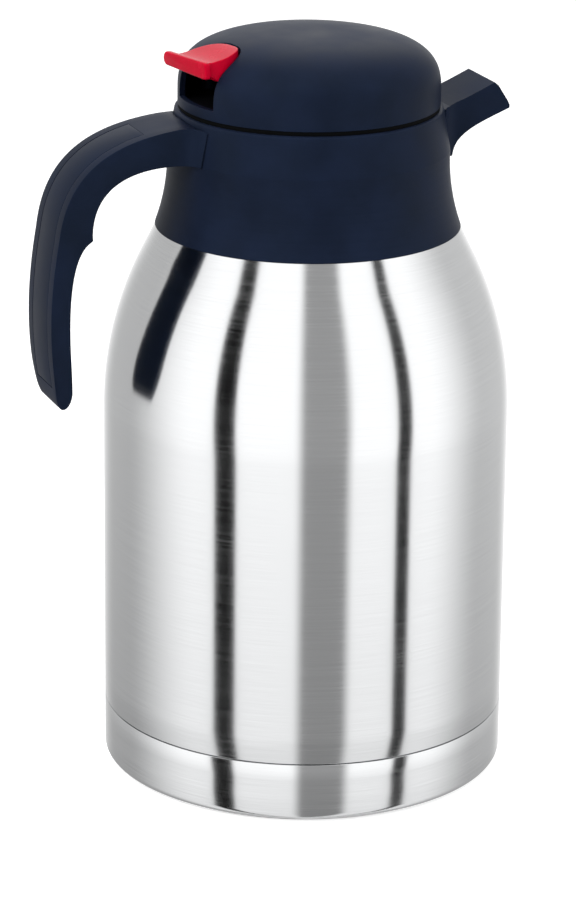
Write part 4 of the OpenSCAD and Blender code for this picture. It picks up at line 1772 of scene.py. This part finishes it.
@dataclass
class Valve(SubAssembly):
    """Valve, its stem and the return spring."""

    wire_r: float = 0.5
    coil_r: float = 5.2
    turns: float = 6.5
    lift: float = 4.6
    steps_per_turn: int = 28

    def spring(self) -> bmesh.types.BMesh:
        """Sweeps the coil spring from a ring of wire, between flange and guide.

        Returns:
            The closed mesh.
        """
        low, high = (p.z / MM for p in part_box("valve_spring"))
        rise = high - low - 2 * self.wire_r
        steps = round(self.turns * self.steps_per_turn)
        bm = bmesh.new()
        place = Matrix.Translation(
            Vector((self.coil_r, 0, low + self.wire_r)) * MM
        ) @ Matrix.Rotation(math.pi / 2, 4, "X")
        bmesh.ops.create_circle(
            bm, cap_ends=True, segments=12, radius=self.wire_r * MM, matrix=place
        )
        bmesh.ops.spin(
            bm,
            geom=bm.verts[:] + bm.edges[:] + bm.faces[:],
            cent=(0, 0, 0),
            axis=(0, 0, 1),
            dvec=(0, 0, rise / steps * MM),
            angle=2 * math.pi * self.turns,
            steps=steps,
            use_merge=False,
            use_duplicate=False,
        )
        bmesh.ops.recalc_face_normals(bm, faces=bm.faces[:])
        return bm

    def build(self) -> None:
        """Builds the spring and dresses the valve's parts."""
        piece = new_piece(
            "return_spring",
            self.spring(),
            SPRING_STEEL,
            Body.LID,
            ["valve_spring"],
        )
        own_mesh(piece)
        self.dress_nodes(
            {
                "valve_stem": NATURAL,
                "valve_plate": GREY,
                "valve_seal": SILICONE,
                "valve_nut": SCREW_STEEL,
                "stem_cap": GREY,
            }
        )


# ---- Studio ----


@dataclass(frozen=True)
class Flag:
    """Upright dark or grey screen that the steel reflects.

    Angles are seen from above, from the direction of the camera towards its right.
    """

    name: str
    from_deg: float
    to_deg: float
    soft_deg: float
    level: float

    def share(
        self, tree: bpy.types.NodeTree, angle: bpy.types.NodeSocket
    ) -> bpy.types.NodeSocket:
        """Share of the screen in a direction: 1 inside it and 0 outside.

        Args:
            tree: The world's node tree.
            angle: The direction's angle in radians.

        Returns:
            The share's socket.
        """
        half = self.soft_deg / 2
        edges = []
        for low, high in (
            (self.from_deg - half, self.from_deg + half),
            (self.to_deg + half, self.to_deg - half),
        ):
            span = {
                "From Min": math.radians(low),
                "From Max": math.radians(high),
                "To Min": 0.0,
                "To Max": 1.0,
            }
            made = add_node(
                tree,
                "ShaderNodeMapRange",
                span,
                {"Value": angle},
                interpolation_type="SMOOTHSTEP",
            )
            edges.append(made.outputs["Result"])
        both = add_node(
            tree,
            "ShaderNodeMath",
            links={0: edges[0], 1: edges[1]},
            operation="MULTIPLY",
        )
        return both.outputs[0]


@dataclass(frozen=True)
class Lamp:
    """Soft square lamp that points at the jug, at an azimuth from the camera
    towards its right and an elevation above the floor. Lengths are metres."""

    name: str
    azimuth: float
    elevation: float
    distance: float
    size: float
    watts: float
    aim_z: float = 0.15

    def add(self, turn_deg: float) -> None:
        """Puts the lamp in the scene.

        Args:
            turn_deg: How far the camera stands turned round the jug.
        """
        data = bpy.data.lights.new(self.name, "AREA")
        data.size = self.size
        data.energy = self.watts
        lamp = bpy.data.objects.new(self.name, data)
        a = math.radians(-90 - turn_deg + self.azimuth)
        e = math.radians(self.elevation)
        away = Vector(
            (math.cos(a) * math.cos(e), math.sin(a) * math.cos(e), math.sin(e))
        )
        lamp.location = Vector((0, 0, self.aim_z)) + away * self.distance
        lamp.rotation_mode = "QUATERNION"
        lamp.rotation_quaternion = away.to_track_quat("Z", "Y")
        lamp.visible_glossy = False
        bpy.context.scene.collection.objects.link(lamp)


@dataclass
class Studio:
    """Floor, lamps, surroundings and camera."""

    camera_xyz: tuple[float, float, float] = (0.0, -1355.0, 572.3)
    turn_deg: float = 21.5
    yaw_deg: float = 0.27
    pitch_deg: float = 18.48
    roll_deg: float = -0.59
    focal_px: float = 3818.0
    long_side_px: float = 897.0
    sensor_mm: float = 36.0
    far_m: float = 50.0
    flags: tuple[Flag, ...] = (
        Flag("left_screen", -52.0, -39.2, 1.4, 0.0),
        Flag("front_dark", -2.5, 25.0, 7.0, 0.29),
        Flag("right_screen", 53.0, 61.8, 1.4, 0.0),
        Flag("far_left", -168.0, -92.0, 56.0, 0.42),
        Flag("far_right", 96.0, 166.0, 46.0, 0.5),
    )
    lamps: tuple[Lamp, ...] = (
        Lamp("key_lamp", -48.0, 42.0, 1.6, 1.2, 16.0),
        Lamp("fill_lamp", 62.0, 30.0, 1.8, 1.4, 8.0),
        Lamp("top_lamp", 10.0, 82.0, 1.5, 1.2, 9.0),
    )
    low_level: float = 1.0
    high_level: float = 1.42
    low_sine: float = -0.41
    high_sine: float = -0.3
    ambient: float = 0.45
    floor_r_m: float = 6.0
    floor_colour: str = "#e9e9e9"
    floor_glow: float = 0.64

    def camera(self) -> None:
        """Sets the camera at the photograph's place and angle."""
        turn = (
            Matrix.Rotation(-math.radians(self.roll_deg), 3, "Y")
            @ Matrix.Rotation(math.radians(self.pitch_deg), 3, "X")
            @ Matrix.Rotation(-math.radians(self.yaw_deg), 3, "Z")
        )
        about = Matrix.Rotation(math.radians(self.turn_deg), 3, "Z")
        place = about.transposed() @ Vector(self.camera_xyz) * MM
        look = (turn @ about).transposed() @ Matrix.Rotation(math.pi / 2, 3, "X")
        data = bpy.data.cameras.new("camera")
        data.sensor_width = self.sensor_mm
        data.lens = self.focal_px / self.long_side_px * self.sensor_mm
        data.clip_end = self.far_m
        camera = bpy.data.objects.new("camera", data)
        camera.matrix_world = Matrix.Translation(place) @ look.to_4x4()
        bpy.context.scene.collection.objects.link(camera)
        bpy.context.scene.camera = camera

    def floor_material(self) -> bpy.types.Material:
        """Matte floor that the camera sees near white, with the jug's shadow, and
        that reflections and views from below look through.

        Returns:
            The material.
        """
        made = bpy.data.materials.new("pale_floor")
        made.use_nodes = True
        tree = made.node_tree
        tree.nodes.clear()
        path = add_node(tree, "ShaderNodeLightPath")
        side = add_node(tree, "ShaderNodeNewGeometry")
        matte = add_node(
            tree, "ShaderNodeBsdfDiffuse", {"Color": linear(self.floor_colour)}
        ).outputs[0]
        glow = add_node(
            tree, "ShaderNodeEmission", {"Color": WHITE, "Strength": self.floor_glow}
        ).outputs[0]
        lit = add_node(tree, "ShaderNodeAddShader", links={0: matte, 1: glow})
        mix = "ShaderNodeMixShader"
        seen = add_node(
            tree,
            mix,
            links={0: path.outputs["Is Camera Ray"], 1: matte, 2: lit.outputs[0]},
        )
        either = add_node(
            tree,
            "ShaderNodeMath",
            links={0: path.outputs["Is Glossy Ray"], 1: side.outputs["Backfacing"]},
            operation="MAXIMUM",
        )
        through = add_node(tree, "ShaderNodeBsdfTransparent")
        whole = add_node(
            tree,
            mix,
            links={0: either.outputs[0], 1: seen.outputs[0], 2: through.outputs[0]},
        )
        add_node(
            tree, "ShaderNodeOutputMaterial", links={"Surface": whole.outputs[0]}
        )
        return made

    def floor(self) -> None:
        """Adds the pale floor."""
        bm = bmesh.new()
        bmesh.ops.create_circle(bm, cap_ends=True, segments=96, radius=self.floor_r_m)
        mesh = bpy.data.meshes.new("floor")
        bm.to_mesh(mesh)
        bm.free()
        mesh.materials.append(self.floor_material())
        floor = bpy.data.objects.new("floor", mesh)
        bpy.context.scene.collection.objects.link(floor)

    def mirrored(self, tree: bpy.types.NodeTree) -> bpy.types.NodeSocket:
        """What a glossy surface mirrors: white above, a little darker towards the
        table, and the upright screens.

        Args:
            tree: The world's node tree.

        Returns:
            The light's strength by direction.
        """
        place = add_node(tree, "ShaderNodeTexCoord")
        turned = add_node(
            tree,
            "ShaderNodeMapping",
            {"Rotation": (0, 0, math.radians(self.turn_deg + 90))},
            {"Vector": place.outputs["Generated"]},
            vector_type="POINT",
        )
        parts = add_node(
            tree, "ShaderNodeSeparateXYZ", links={0: turned.outputs["Vector"]}
        )
        angle = add_node(
            tree,
            "ShaderNodeMath",
            links={0: parts.outputs["Y"], 1: parts.outputs["X"]},
            operation="ARCTAN2",
        )
        span = {
            "From Min": self.low_sine,
            "From Max": self.high_sine,
            "To Min": self.low_level,
            "To Max": self.high_level,
        }
        rise = add_node(
            tree, "ShaderNodeMapRange", span, {"Value": parts.outputs["Z"]}
        ).outputs["Result"]
        level = rise
        for flag in self.flags:
            dimmed = add_node(
                tree, "ShaderNodeMath", {1: flag.level}, {0: rise}, operation="MULTIPLY"
            )
            made = add_node(tree, "ShaderNodeMix", data_type="FLOAT")
            tree.links.new(level, made.inputs[2])
            tree.links.new(dimmed.outputs[0], made.inputs[3])
            tree.links.new(flag.share(tree, angle.outputs[0]), made.inputs[0])
            level = made.outputs[0]
        return level

    def surroundings(self) -> None:
        """Sets a white studio whose screens only glossy surfaces show."""
        world = bpy.data.worlds.new("studio")
        bpy.context.scene.world = world
        world.use_nodes = True
        tree = world.node_tree
        tree.nodes.clear()
        kind = "ShaderNodeBackground"
        glossy = add_node(
            tree, kind, {"Color": WHITE}, {"Strength": self.mirrored(tree)}
        ).outputs[0]
        plain = add_node(tree, kind, {"Color": WHITE, "Strength": self.ambient})
        white = add_node(tree, kind, {"Color": WHITE, "Strength": 1.0})
        path = add_node(tree, "ShaderNodeLightPath").outputs
        mix = "ShaderNodeMixShader"
        lit = add_node(
            tree, mix, links={0: path["Is Glossy Ray"], 1: plain.outputs[0], 2: glossy}
        )
        whole = add_node(
            tree,
            mix,
            links={0: path["Is Camera Ray"], 1: lit.outputs[0], 2: white.outputs[0]},
        )
        add_node(tree, "ShaderNodeOutputWorld", links={"Surface": whole.outputs[0]})

    def build(self) -> None:
        """Sets up everything around the jug."""
        bpy.context.scene.view_settings.view_transform = "Standard"
        self.camera()
        self.floor()
        self.surroundings()
        for lamp in self.lamps:
            lamp.add(self.turn_deg)
        LOG.info("studio: %d screens, %d lamps", len(self.flags), len(self.lamps))


def main() -> None:
    """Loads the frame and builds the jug."""
    logging.basicConfig(level=logging.INFO, format="%(name)s: %(message)s")
    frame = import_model()
    nodes = frame["nodes"]
    Studio().build()
    for group in (
        SteelBody(nodes),
        CollarAndHandle(nodes),
        Lid(nodes),
        ThumbLever(nodes),
        Valve(nodes),
    ):
        group.build()


if __name__ == "__main__":
    main()
